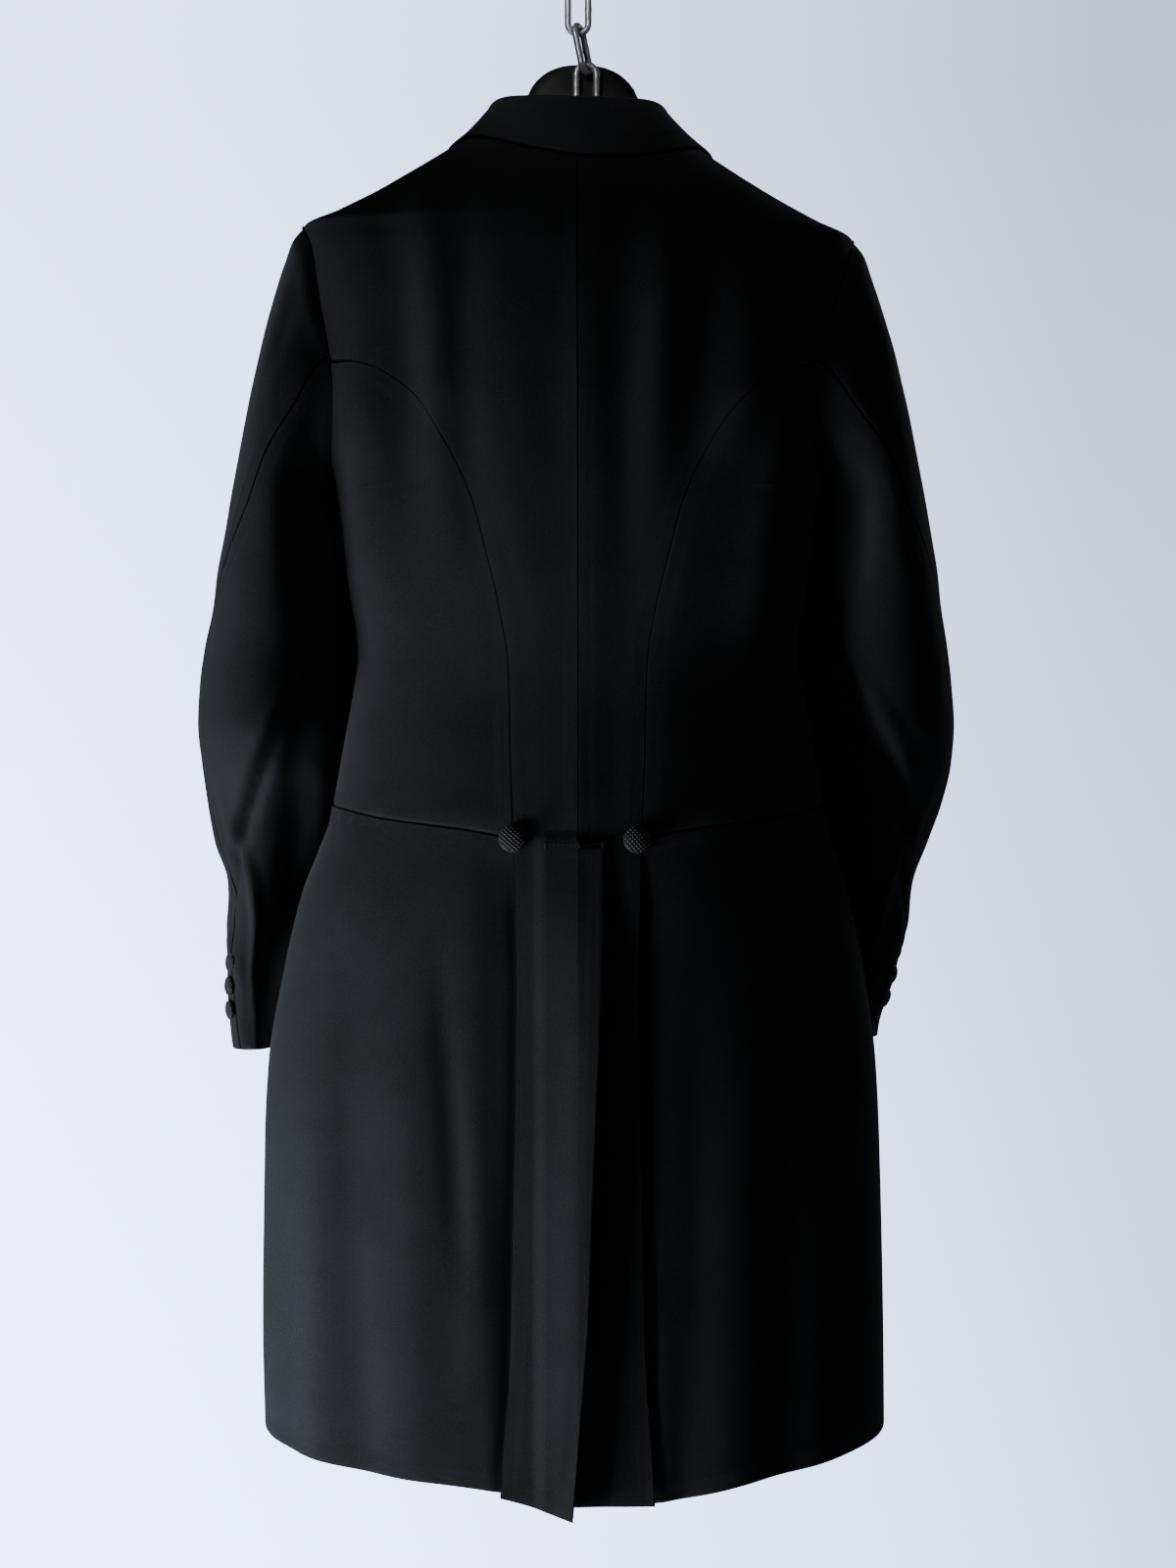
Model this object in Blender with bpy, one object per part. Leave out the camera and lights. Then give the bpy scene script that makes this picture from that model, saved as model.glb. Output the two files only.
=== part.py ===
# White tie tailcoat on a shoulder hanger, hung by a short chain.
# Metres, +Z up. The origin is the inner top of the first chain link.
# The back of the coat faces -Y and the wearer's right hand is on +X.

import math

import bmesh
import bpy
from mathutils import Matrix, Vector

MM = 0.001

# Cloth and seams
CLOTH = 1.8 * MM            # wall of the wool panels
LAPEL_CLOTH = 1.4 * MM      # wall of the silk facing
COLLAR_HALF = 1.0 * MM      # half the wall of the collar
SEAM = 0.34 * MM            # space between two panels at a seam
LAY_GAP = 0.5 * MM          # space under anything lying on a panel

# How the coat hangs from the chain
COAT_FORWARD = 20.0 * MM    # the middle of the coat lies this far in front of the chain
SHOULDER_LEAN = 0.025       # drop of the right shoulder for each metre across
LEAN_TOP = -210.0 * MM      # the lean is whole above this height
LEAN_END = -400.0 * MM      # and gone below this one

# Chain
WIRE_RADIUS = 2.5 * MM
LINK_HOLE_LENGTH = 30.0 * MM
LINK_WIDTH = 20.0 * MM
LINK_TOPS = (0.0, -29.7, -58.6, -87.6)   # inner top of each link, in millimetres
LINK_TURNS = (90.0, 0.0, 67.0, 0.0)      # degrees about the vertical
LINK_OFFSETS = (0.0, 0.0, 3.0, 6.0)      # sideways, in millimetres
LINK_TILTS = (0.0, 0.0, -11.5, 0.0)      # degrees in the picture plane
EYE_WIRE = 2.0 * MM
EYE_BEND = 5.0 * MM

# Buttons
BACK_BUTTON_RADIUS = 10.0 * MM
CUFF_BUTTON_RADIUS = 7.2 * MM
FRONT_BUTTON_RADIUS = 10.0 * MM
BUTTON_HEIGHT_SHARE = 0.5                # height of a button over its radius

# Body of the coat by height, in millimetres: half widths, depths behind and in front
# of the middle, and the squareness of the section (2 is an ellipse).
# height, left, right, back, front, squareness
BODY = (
    (-124.0, 66.0, 66.0, 44.0, 30.0, 2.0),
    (-138.6, 82.0, 82.0, 56.0, 38.0, 2.0),
    (-146.0, 95.0, 95.0, 61.0, 44.0, 2.0),
    (-152.6, 105.0, 105.0, 65.0, 49.0, 2.1),
    (-174.6, 140.0, 140.0, 75.0, 62.0, 2.2),
    (-197.0, 181.0, 181.0, 83.0, 73.0, 2.3),
    (-208.0, 204.0, 204.0, 86.0, 77.0, 2.3),
    (-230.0, 208.0, 208.0, 91.0, 84.0, 2.4),
    (-270.0, 207.0, 207.0, 96.0, 91.0, 2.5),
    (-330.0, 203.0, 203.0, 98.0, 93.0, 2.5),
    (-365.0, 196.0, 196.0, 96.0, 91.0, 2.5),
    (-400.0, 183.0, 183.0, 93.0, 87.0, 2.5),
    (-457.0, 173.0, 173.0, 86.0, 80.0, 2.4),
    (-520.0, 163.0, 163.0, 78.0, 71.0, 2.3),
    (-545.0, 167.0, 167.0, 77.0, 68.0, 2.3),
    (-602.0, 177.0, 177.0, 82.0, 66.0, 2.3),
    (-640.0, 184.0, 184.0, 87.0, 66.0, 2.3),
    (-700.0, 206.0, 201.0, 91.0, 64.0, 2.3),
    (-760.0, 220.0, 213.0, 92.0, 60.0, 2.2),
    (-820.0, 230.0, 221.0, 92.0, 58.0, 2.2),
    (-880.0, 233.0, 224.0, 92.0, 56.0, 2.2),
    (-1010.0, 234.5, 227.0, 91.0, 56.0, 2.2),
    (-1150.0, 231.0, 228.0, 89.0, 56.0, 2.2),
)

# Back edge of the armholes: height, distance from the middle on the left and the right
ARMHOLE_BACK = (
    (-208.0, 204.0, 204.0),
    (-229.0, 195.0, 197.0),
    (-265.0, 189.0, 186.0),
    (-299.0, 182.0, 175.0),
    (-328.0, 178.0, 169.0),
    (-345.0, 178.0, 167.5),
    (-365.0, 179.0, 170.0),
    (-384.0, 181.0, 176.0),
    (-400.0, 183.0, 183.0),
)

# Front edge of the armholes: height, distance from the middle
ARMHOLE_FRONT = (
    (-208.0, 204.0),
    (-229.0, 192.0),
    (-265.0, 179.0),
    (-299.0, 169.0),
    (-345.0, 163.0),
    (-365.0, 167.0),
    (-384.0, 175.0),
    (-400.0, 183.0),
)

# Curved seam from the armhole to the back button: height, distance from the middle
BACK_SEAM = (
    (-311.4, 174.0),
    (-311.9, 166.0),
    (-314.0, 155.0),
    (-319.0, 143.0),
    (-328.0, 130.0),
    (-337.0, 119.0),
    (-349.0, 109.0),
    (-363.0, 100.0),
    (-379.0, 91.0),
    (-395.0, 83.0),
    (-415.0, 75.0),
    (-450.0, 65.5),
    (-485.0, 57.0),
    (-530.0, 50.0),
    (-602.0, 48.0),
    (-654.0, 46.0),
    (-757.0, 44.0),
    (-862.0, 45.0),
    (-932.0, 46.5),
    (-1038.0, 49.0),
    (-1094.0, 53.0),
    (-1150.0, 56.0),
)

# Edge of the vent flap: height, distance to the right of the middle
FLAP_EDGE = (
    (-657.0, 19.4),
    (-756.0, 17.8),
    (-826.0, 15.0),
    (-932.0, 10.8),
    (-1002.0, 8.0),
    (-1072.0, 2.4),
    (-1144.0, -4.6),
)

# Seams given by the angle round the body, in degrees from the centre back
SHOULDER_SEAM = (      # height, angle, down to where the seam meets the armhole
    (-140.6, 72.0),
    (-149.0, 72.0),
    (-159.0, 72.6),
    (-171.0, 73.6),
    (-184.0, 75.4),
    (-197.0, 79.5),
)
UNDERARM_ANGLE = 95.0
NECK_SEAM = (          # angle, height
    (0.0, -150.0),
    (30.0, -149.0),
    (50.0, -146.0),
    (72.0, -140.6),
    (85.0, -139.0),
    (100.0, -147.0),
    (120.0, -170.0),
    (142.0, -200.0),
)
WAIST_SEAM = (         # angle, height
    (0.0, -657.0),
    (27.0, -655.0),
    (45.0, -649.0),
    (65.0, -642.0),
    (80.0, -634.0),
    (95.0, -631.0),
    (160.0, -659.0),
)
FRONT_EDGE = (         # height, angle
    (-200.0, 142.0),
    (-260.0, 147.0),
    (-400.0, 155.0),
    (-520.0, 157.0),
    (-600.0, 152.0),
    (-656.0, 143.0),
)
TAIL_FRONT = (         # height, angle
    (-640.0, 138.0),
    (-652.0, 124.0),
    (-670.0, 111.0),
    (-700.0, 102.0),
    (-760.0, 97.0),
    (-900.0, 94.0),
    (-1150.0, 90.0),
)
TAIL_HEM = (           # angle, height on the left and the right
    (20.0, -1129.0, -1137.0),
    (45.0, -1120.5, -1128.0),
    (62.0, -1114.5, -1116.5),
    (75.0, -1105.5, -1104.5),
    (95.0, -1084.0, -1084.0),
)
LAPEL_EDGE = (         # height, angle of the outer edge
    (-206.0, 112.0),
    (-226.0, 106.0),
    (-262.0, 113.0),
    (-340.0, 126.0),
    (-420.0, 140.0),
    (-486.0, 153.0),
)

# Folds of the body: side, height of each end, distance from the middle at each end,
# half width and height of the ridge (a negative height is a hollow)
BODY_FOLDS = (
    (-1, -300.0, -560.0, 150.0, 128.0, 26.0, 4.0),
    (-1, -280.0, -520.0, 118.0, 96.0, 22.0, -4.5),
    (-1, -300.0, -600.0, 78.0, 84.0, 24.0, 3.5),
    (1, -260.0, -520.0, 92.0, 80.0, 26.0, 3.0),
    (1, -290.0, -560.0, 50.0, 30.0, 22.0, -3.0),
    (1, -320.0, -560.0, 156.0, 130.0, 24.0, 4.0),
    (-1, -720.0, -1240.0, 152.0, 158.0, 34.0, 7.0),
    (-1, -700.0, -1240.0, 94.0, 88.0, 26.0, -6.0),
    (-1, -820.0, -1240.0, 196.0, 202.0, 16.0, -4.0),
    (1, -720.0, -1240.0, 120.0, 130.0, 36.0, 6.0),
    (1, -720.0, -1240.0, 76.0, 78.0, 18.0, -5.0),
    (1, -780.0, -1240.0, 182.0, 186.0, 20.0, -4.0),
)

# Sleeves below the armhole, in millimetres
# height, outer, inner, back, front, squareness
SLEEVE_LEFT = (
    (-412.0, 259.5, 183.0, 67.0, 78.0, 2.2),
    (-455.0, 268.5, 175.0, 61.0, 92.0, 2.2),
    (-485.0, 273.3, 170.0, 56.0, 97.0, 2.2),
    (-514.0, 279.6, 165.0, 52.0, 100.0, 2.2),
    (-543.0, 283.8, 167.5, 51.0, 101.0, 2.2),
    (-572.0, 285.4, 172.5, 49.0, 101.0, 2.2),
    (-601.0, 283.0, 176.5, 38.0, 102.0, 2.2),
    (-631.0, 280.2, 178.5, 20.0, 104.0, 2.2),
    (-660.0, 275.8, 184.0, 8.0, 104.0, 2.2),
    (-689.0, 266.6, 196.0, 0.0, 106.0, 2.3),
    (-718.0, 265.2, 208.0, -4.0, 108.0, 2.5),
    (-762.0, 266.5, 226.0, -7.0, 113.0, 2.8),
    (-806.0, 263.5, 231.0, -10.0, 118.0, 3.0),
    (-815.0, 262.0, 231.0, -10.0, 119.0, 3.0),
)
SLEEVE_RIGHT = (
    (-412.0, 259.0, 183.0, 68.0, 78.0, 2.2),
    (-455.0, 267.5, 175.0, 62.0, 92.0, 2.2),
    (-485.0, 271.8, 170.0, 56.0, 97.0, 2.2),
    (-514.0, 276.8, 165.0, 52.0, 100.0, 2.2),
    (-543.0, 280.0, 168.0, 51.0, 101.0, 2.2),
    (-572.0, 282.0, 172.5, 49.0, 101.0, 2.2),
    (-601.0, 280.8, 176.0, 36.0, 104.0, 2.2),
    (-631.0, 275.4, 176.5, 14.0, 108.0, 2.2),
    (-660.0, 266.0, 179.0, -2.0, 112.0, 2.2),
    (-689.0, 255.6, 186.0, -14.0, 116.0, 2.3),
    (-718.0, 251.0, 192.0, -22.0, 120.0, 2.5),
    (-762.0, 242.5, 197.0, -30.0, 128.0, 2.8),
    (-800.0, 230.5, 194.0, -36.0, 134.0, 3.0),
    (-808.0, 229.5, 193.0, -36.0, 135.0, 3.0),
)
# Sleeve seams: height, angle round the sleeve of the back and of the front seam
SLEEVE_SEAMS = (
    (-208.0, 92.0, 248.0),
    (-330.0, 92.0, 248.0),
    (-400.0, 68.0, 244.0),
    (-455.0, 40.0, 240.0),
    (-514.0, 22.0, 236.0),
    (-600.0, 24.0, 236.0),
    (-720.0, 48.0, 240.0),
    (-820.0, 70.0, 244.0),
)
# Folds of the sleeves: height, angle, half height, half angle, height of the ridge
SLEEVE_FOLDS = (
    (-452.0, 108.0, 22.0, 46.0, -6.0),
    (-498.0, 92.0, 26.0, 60.0, 5.0),
    (-548.0, 84.0, 20.0, 50.0, -4.0),
    (-600.0, 96.0, 22.0, 54.0, 7.0),
    (-646.0, 84.0, 24.0, 60.0, -7.0),
    (-688.0, 60.0, 16.0, 50.0, 3.0),
)
SLEEVE_TOP_RING = -412.0
CAP_RINGS = 6
CAP_GAP = 0.6 * MM          # space between the armhole and the sleeve set into it
UNDERARM_GAP = 1.0 * MM     # more of it under the arm

# Hanger: distance from the middle, top, bottom and half depth, in millimetres
HANGER = (
    (0.0, -80.6, -170.0, 17.0),
    (12.0, -81.6, -170.0, 17.0),
    (24.0, -85.4, -170.0, 17.0),
    (33.0, -92.0, -170.0, 17.0),
    (40.0, -101.5, -170.0, 16.6),
    (43.5, -112.0, -170.0, 16.6),
    (47.0, -126.0, -170.5, 16.6),
    (54.0, -136.0, -171.0, 16.8),
    (66.0, -142.5, -172.5, 17.4),
    (80.0, -146.4, -176.0, 18.2),
    (96.0, -150.6, -183.0, 19.4),
    (110.0, -158.9, -190.0, 21.0),
    (135.0, -174.8, -202.0, 24.0),
    (160.0, -189.6, -212.0, 23.5),
    (175.0, -198.4, -217.0, 21.0),
    (180.0, -202.4, -215.0, 17.0),
    (183.0, -205.6, -211.5, 10.0),
)
HANGER_SHIFT = 3.5
HANGER_SIDES = 14


def table_value(rows, at, column, key=0):
    """Smooth value of one column of a table at a place along its key column."""
    ordered = sorted(rows, key=lambda row: row[key])
    keys = [row[key] for row in ordered]
    values = [row[column] for row in ordered]
    if at <= keys[0]:
        return values[0]
    if at >= keys[-1]:
        return values[-1]
    i = max(n for n in range(len(keys) - 1) if keys[n] <= at)
    slopes = []
    for n in (i, i + 1):
        if n == 0 or n == len(keys) - 1:
            m = min(n, len(keys) - 2)
            slopes.append((values[m + 1] - values[m]) / (keys[m + 1] - keys[m]))
            continue
        before = (values[n] - values[n - 1]) / (keys[n] - keys[n - 1])
        after = (values[n + 1] - values[n]) / (keys[n + 1] - keys[n])
        same_way = before * after > 0.0
        slopes.append(2.0 * before * after / (before + after) if same_way else 0.0)
    span = keys[i + 1] - keys[i]
    t = (at - keys[i]) / span
    return ((1 + 2 * t) * (1 - t) ** 2 * values[i]
            + t * (1 - t) ** 2 * span * slopes[0]
            + t * t * (3 - 2 * t) * values[i + 1]
            + t * t * (t - 1) * span * slopes[1])


def ease(start, end, at):
    """Smooth step from 0 at the start to 1 at the end."""
    t = min(max((at - start) / (end - start), 0.0), 1.0)
    return t * t * (3.0 - 2.0 * t)


def settle(point):
    """Move a point of the coat to where it hangs: forward of the chain and leaning."""
    share = 1.0 - ease(LEAN_TOP, LEAN_END, point.z)
    lean = SHOULDER_LEAN * point.x * share
    return Vector((point.x, point.y + COAT_FORWARD, point.z - lean))


def body_section(height, side):
    """Half width, back depth, front depth and squareness in millimetres."""
    width = table_value(BODY, height, 1 if side < 0 else 2)
    back = table_value(BODY, height, 3)
    front = table_value(BODY, height, 4)
    return width, back, front, table_value(BODY, height, 5)


def body_point(angle, height):
    """Point of the plain body surface; the angle is negative on the left."""
    side = -1 if angle < 0 else 1
    width, back, front, power = body_section(height, side)
    turn = math.radians(angle)
    across, along = math.sin(turn), -math.cos(turn)
    depth = back if along < 0 else front
    total = abs(across / width) ** power + abs(along / depth) ** power
    reach = total ** (-1.0 / power)
    return Vector((reach * across, reach * along, height)) * MM


def body_normal(angle, height):
    """Outward direction of the plain body surface."""
    turn, rise = 0.6, 0.6
    across = body_point(angle + turn, height) - body_point(angle - turn, height)
    up = body_point(angle, height + rise) - body_point(angle, height - rise)
    return across.cross(up).normalized()


def body_angle(distance, height, side, front=False):
    """Angle at which the body surface lies this far from the middle."""
    low, high = (90.0, 180.0) if front else (0.0, 90.0)
    for _ in range(40):
        middle = 0.5 * (low + high)
        reach = abs(body_point(side * middle, height).x) / MM
        outside = reach > distance
        if outside == front:
            low = middle
        else:
            high = middle
    return side * 0.5 * (low + high)


def body_fold(point):
    """How far the folds lift the cloth at a point of the back."""
    height = point.z / MM
    total = 0.0
    for side, top, bottom, start, end, half, lift in BODY_FOLDS:
        if point.x * side <= 0.0 or point.y > 0.02:
            continue
        along = (top - height) / (top - bottom)
        if not 0.0 < along < 1.0:
            continue
        middle = start + (end - start) * along
        away = (abs(point.x) / MM - middle) / half
        total += lift * math.exp(-away * away) * math.sin(math.pi * min(along * 1.3, 1.0) ** 0.8)
    return total * MM


def coat_point(angle, height, lift=0.0):
    """Point of the outside of the coat, with its folds, before it is settled."""
    plain = body_point(angle, height)
    return plain + body_normal(angle, height) * (body_fold(plain) + lift)


def make_wall(name, outer, inner, material, closed=False):
    """One closed solid from two grids of points that face each other."""
    mesh = bpy.data.meshes.new(name)
    bm = bmesh.new()
    layers = []
    for grid in (outer, inner):
        layers.append([[bm.verts.new(settle(point)) for point in row] for row in grid])
    rows, columns = len(outer), len(outer[0])
    wrap = columns if closed else columns - 1
    for layer in layers:
        for r in range(rows - 1):
            for c in range(wrap):
                d = (c + 1) % columns
                bm.faces.new((layer[r][c], layer[r][d], layer[r + 1][d], layer[r + 1][c]))
    front, rear = layers
    for r in (0, rows - 1):
        for c in range(wrap):
            d = (c + 1) % columns
            bm.faces.new((front[r][c], front[r][d], rear[r][d], rear[r][c]))
    if not closed:
        for c in (0, columns - 1):
            for r in range(rows - 1):
                bm.faces.new((front[r][c], front[r + 1][c], rear[r + 1][c], rear[r][c]))
    bmesh.ops.recalc_face_normals(bm, faces=bm.faces)
    bm.to_mesh(mesh)
    bm.free()
    return add_object(name, mesh, material)


def add_object(name, mesh, material):
    """Put a mesh into the coat's collection under its own material."""
    thing = bpy.data.objects.new(name, mesh)
    surface = bpy.data.materials.new(name + "_" + material[0])
    surface.use_nodes = True
    shader = surface.node_tree.nodes["Principled BSDF"]
    shader.inputs["Base Color"].default_value = (*material[1], 1.0)
    shader.inputs["Roughness"].default_value = material[2]
    shader.inputs["Metallic"].default_value = material[3]
    mesh.materials.append(surface)
    collection.objects.link(thing)
    return thing


def panel(name, rows, columns, material, lift=0.0, wall=CLOTH, extra=None):
    """Cloth panel from rows given by the angle and height of their two ends.

    Each row is start angle, end angle and a function that gives the height at an angle.
    """
    outer, inner = [], []
    for start, end, height_at in rows:
        outer_row, inner_row = [], []
        for c in range(columns + 1):
            angle = start + (end - start) * c / columns
            height = height_at(angle)
            more = extra(angle, height) if extra else 0.0
            out = body_normal(angle, height)
            point = coat_point(angle, height, lift + more)
            outer_row.append(point)
            inner_row.append(point - out * wall)
        outer.append(outer_row)
        inner.append(inner_row)
    return make_wall(name, outer, inner, material)


def seam_angle(angle, height, shift):
    """Move an edge round the body by a small distance to leave the seam open."""
    reach = Vector(body_point(angle, height)[:2]).length
    return angle + math.degrees(shift / reach)


WOOL = ("wool", (0.012, 0.012, 0.013), 0.85, 0.0)
SILK = ("silk", (0.01, 0.01, 0.012), 0.35, 0.0)
COVER = ("covered_button", (0.012, 0.012, 0.013), 0.6, 0.0)
PLASTIC = ("moulded_plastic", (0.015, 0.015, 0.015), 0.4, 0.0)
ZINC = ("zinc_plated_steel", (0.55, 0.55, 0.56), 0.35, 1.0)

for thing in list(bpy.data.objects):
    bpy.data.objects.remove(thing)
collection = bpy.data.collections.new("white_tie_tailcoat")
bpy.context.scene.collection.children.link(collection)


# Armholes: the same points serve the panels round them and the sleeves set into them

ARMHOLE_TOP = -208.0
ARMHOLE_BOTTOM = -400.0
BACK_SLEEVE_SEAM = 92.0        # degrees round the armhole from the shoulder
FRONT_SLEEVE_SEAM = 248.0
TOP_SLEEVE_COLUMNS = 11
UNDER_SLEEVE_COLUMNS = 8
TOP_TURNS = tuple(FRONT_SLEEVE_SEAM - 360.0
                  + (BACK_SLEEVE_SEAM + 360.0 - FRONT_SLEEVE_SEAM) * c / TOP_SLEEVE_COLUMNS
                  for c in range(TOP_SLEEVE_COLUMNS + 1))
UNDER_TURNS = tuple(BACK_SLEEVE_SEAM + (FRONT_SLEEVE_SEAM - BACK_SLEEVE_SEAM) * c
                    / UNDER_SLEEVE_COLUMNS for c in range(UNDER_SLEEVE_COLUMNS + 1))
SHOULDER_POINT = 6             # which of the top sleeve's points ends the shoulder seam


def armhole_place(side, turn):
    """Angle and height of a point of the armhole; turn 0 is the shoulder, 90 the back."""
    turn = turn % 360.0
    share = 0.5 * (1.0 - math.cos(math.radians(turn)))
    height = ARMHOLE_TOP + (ARMHOLE_BOTTOM - ARMHOLE_TOP) * share
    if turn <= 180.0:
        distance = table_value(ARMHOLE_BACK, height, 1 if side < 0 else 2)
        return body_angle(distance, height, side), height
    distance = table_value(ARMHOLE_FRONT, height, 1)
    return body_angle(distance, height, side, front=True), height


def armhole_point(side, turn):
    """Point of the armhole and the way out of the body there."""
    angle, height = armhole_place(side, turn)
    return coat_point(angle, height), body_normal(angle, height)


# Backs: neck, shoulder, armhole, curved seam, then the skirt strip beside the vent

BACK_SEAM_ROWS = (-312.2, -314.0, -319.0, -328.0, -339.0, -353.0, -372.0, -397.0,
                  -425.0, -458.0, -492.0, -525.0, -565.0, -605.0, -638.0, -656.4)
STRIP_ROWS = (-657.6, -664.0, -705.0, -780.0, -860.0, -940.0, -1020.0, -1085.0, -1134.0)
BACK_COLUMNS = 8
STRIP_RISE = 6.0               # how far the left hem rises at the pleat
FLAP_DROP = 15.0               # and falls again to the corner of the flap
ARMHOLE_FOOT = -310.9          # where the armhole leaves the back panel


def back_height(edge_height, end):
    """Heights along a back row: the neck seam at the top, level lower down."""
    drop = 1.0 - ease(-140.6, -250.0, edge_height)
    neck_start = table_value(NECK_SEAM, abs(end), 1)

    def height_at(angle):
        bend = table_value(NECK_SEAM, abs(angle), 1) - neck_start
        return edge_height + bend * drop
    return height_at


def strip_height(edge_height, hem_slope):
    """Heights along a strip row, sloping to the hem near the bottom."""
    def height_at(angle):
        low = ease(-657.0, -1134.0, edge_height)
        return edge_height + hem_slope * low * abs(angle - hem_angle) / 40.0
    hem_angle = 34.0 if hem_slope > 0.0 else -34.0
    return height_at


def vent_lift(angle, height):
    """The left strip rides over the right one from the waist down."""
    below = ease(-636.0, -657.0, height)
    reach = body_point(angle, height).x / MM
    return below * (1.0 - ease(22.0, 34.0, abs(reach)))


def make_back(side):
    edges = [(side * angle, height) for height, angle in SHOULDER_SEAM]
    for turn in TOP_TURNS[SHOULDER_POINT:]:
        edges.append(armhole_place(side, turn))
    distance = table_value(ARMHOLE_BACK, ARMHOLE_FOOT, 1 if side < 0 else 2)
    edges.append((body_angle(distance, ARMHOLE_FOOT, side), ARMHOLE_FOOT))
    for height in BACK_SEAM_ROWS:
        edges.append((body_angle(table_value(BACK_SEAM, height, 1), height, side), height))
    rows = []
    for end, edge_height in edges:
        middle = seam_angle(0.0, edge_height, side * SEAM * 0.5)
        rows.append((middle, end, back_height(edge_height, end)))
    for edge_height in STRIP_ROWS:
        distance = table_value(BACK_SEAM, edge_height, 1)
        end = body_angle(distance, edge_height, side)
        if side < 0:
            edge = table_value(FLAP_EDGE, edge_height, 1)
            flap_side = 1 if edge > 0 else -1
            middle = body_angle(abs(edge), edge_height, flap_side)
            low = ease(-1040.0, -1134.0, edge_height)
            rows.append((middle, end, lambda angle, h=edge_height, d=low, m=middle, e=end:
                         h + d * (STRIP_RISE - FLAP_DROP * (1.0 - abs(angle - m) / abs(e - m)))))
        else:
            middle = seam_angle(0.0, edge_height, -4.0 * MM)
            rows.append((middle, end, lambda angle, h=edge_height: h))
    lift = 2.0 * MM if side < 0 else -0.6 * MM
    name = "back_left" if side < 0 else "back_right"
    return panel(name, rows, BACK_COLUMNS, WOOL,
                 extra=lambda angle, height: lift * vent_lift(angle, height))


make_back(-1)
make_back(1)

# Side bodies: between the curved seam and the underarm seam

SIDE_TOP_ROWS = (-312.6, -316.0, -322.0, -330.0)
SIDE_ROWS = (-425.0, -458.0, -492.0, -525.0, -560.0, -600.0, -631.0)
UNDERARM_TOP = -399.1
SIDE_COLUMNS = 5


def waist_height(level, top=-520.0, bottom=-631.0):
    """Heights along a row that is level at the waist and ends on the waist seam."""
    share = ease(top, bottom, level)

    def height_at(angle):
        seam = table_value(WAIST_SEAM, abs(angle), 1) - bottom
        return level + seam * share
    return height_at


def make_side(side):
    edges = []
    for level in SIDE_TOP_ROWS:
        distance = table_value(ARMHOLE_BACK, level, 1 if side < 0 else 2)
        edges.append((body_angle(distance, level, side), level))
    edges += [armhole_place(side, turn) for turn in UNDER_TURNS[1:] if turn < 180.0]
    for level in (UNDERARM_TOP,) + SIDE_ROWS:
        edges.append((seam_angle(side * UNDERARM_ANGLE, level, -side * SEAM * 0.5), level))
    rows = []
    for end, level in edges:
        drop = table_value(WAIST_SEAM, 30.0, 1) + 631.0
        seam_level = level + drop * ease(-520.0, -631.0, level)
        distance = table_value(BACK_SEAM, seam_level + 0.4, 1) + SEAM / MM
        start = body_angle(distance, seam_level, side)
        rows.append((start, end, waist_height(level)))
    name = "side_left" if side < 0 else "side_right"
    return panel(name, rows, SIDE_COLUMNS, WOOL)


make_side(-1)
make_side(1)

# Foreparts: from the shoulder seam, armhole and underarm seam to the front edge

FORE_SEAM_ROWS = (-425.0, -458.0, -492.0, -525.0, -560.0, -600.0, -631.0)
FORE_FRONT_ROWS = (-200.0, -207.0, -216.0, -226.0, -237.0, -248.0, -258.0, -268.0,
                   -284.0, -306.0, -332.0, -360.0, -386.0, -406.0, -420.0, -427.0,
                   -437.0, -457.0, -484.0, -514.0, -546.0, -582.0, -620.0, -653.0)
FORE_COLUMNS = 8
SHOULDER_GAP = 0.6 * MM


def fore_height(level, start, front, end):
    """Heights along a forepart row: the neck seam at the top, the waist seam at the end."""
    high = 1.0 - ease(-200.0, -330.0, front)
    low = ease(-582.0, -653.0, front)
    neck_top = table_value(NECK_SEAM, start, 1)
    neck_fall = table_value(NECK_SEAM, end, 1) - neck_top

    def height_at(angle):
        share = (abs(angle) - start) / (end - start)
        neck = (table_value(NECK_SEAM, abs(angle), 1) - neck_top) / neck_fall
        share = share + (neck - share) * high
        line = level + (front - level) * share
        seam = table_value(WAIST_SEAM, abs(angle), 1) + level + 631.0
        return line + (seam - line) * low
    return height_at


def make_forepart(side):
    edges = []
    for height, angle in SHOULDER_SEAM:
        edges.append((seam_angle(angle, height, SHOULDER_GAP), height))
    for turn in reversed(TOP_TURNS[:SHOULDER_POINT]):
        angle, height = armhole_place(side, turn)
        edges.append((abs(angle), height))
    for turn in reversed(UNDER_TURNS[:-1]):
        if turn > 180.0:
            angle, height = armhole_place(side, turn)
            edges.append((abs(angle), height))
    angle, height = armhole_place(side, TOP_TURNS[SHOULDER_POINT])
    edges.insert(len(SHOULDER_SEAM), (seam_angle(abs(angle), height, SHOULDER_GAP), height + 0.2))
    for level in (UNDERARM_TOP,) + FORE_SEAM_ROWS:
        edges.append((seam_angle(UNDERARM_ANGLE, level, SEAM * 0.5), level))
    rows = []
    for (start, level), front in zip(edges, FORE_FRONT_ROWS):
        end = table_value(FRONT_EDGE, front, 1)
        rows.append((side * start, side * end, fore_height(level, start, front, end)))
    name = "forepart_left" if side < 0 else "forepart_right"
    return panel(name, rows, FORE_COLUMNS, WOOL)


make_forepart(-1)
make_forepart(1)

# Lapels: peaked, lying on the foreparts from the gorge to the waist

LAPEL_ROWS = (-206.0, -215.0, -226.0, -242.0, -260.0, -280.0, -303.0, -328.0, -354.0, -380.0,
              -406.0, -432.0, -460.0, -486.0)
LAPEL_COLUMNS = 8
LAPEL_LIFT = 0.9 * MM
LAPEL_SETBACK = 1.2


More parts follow.
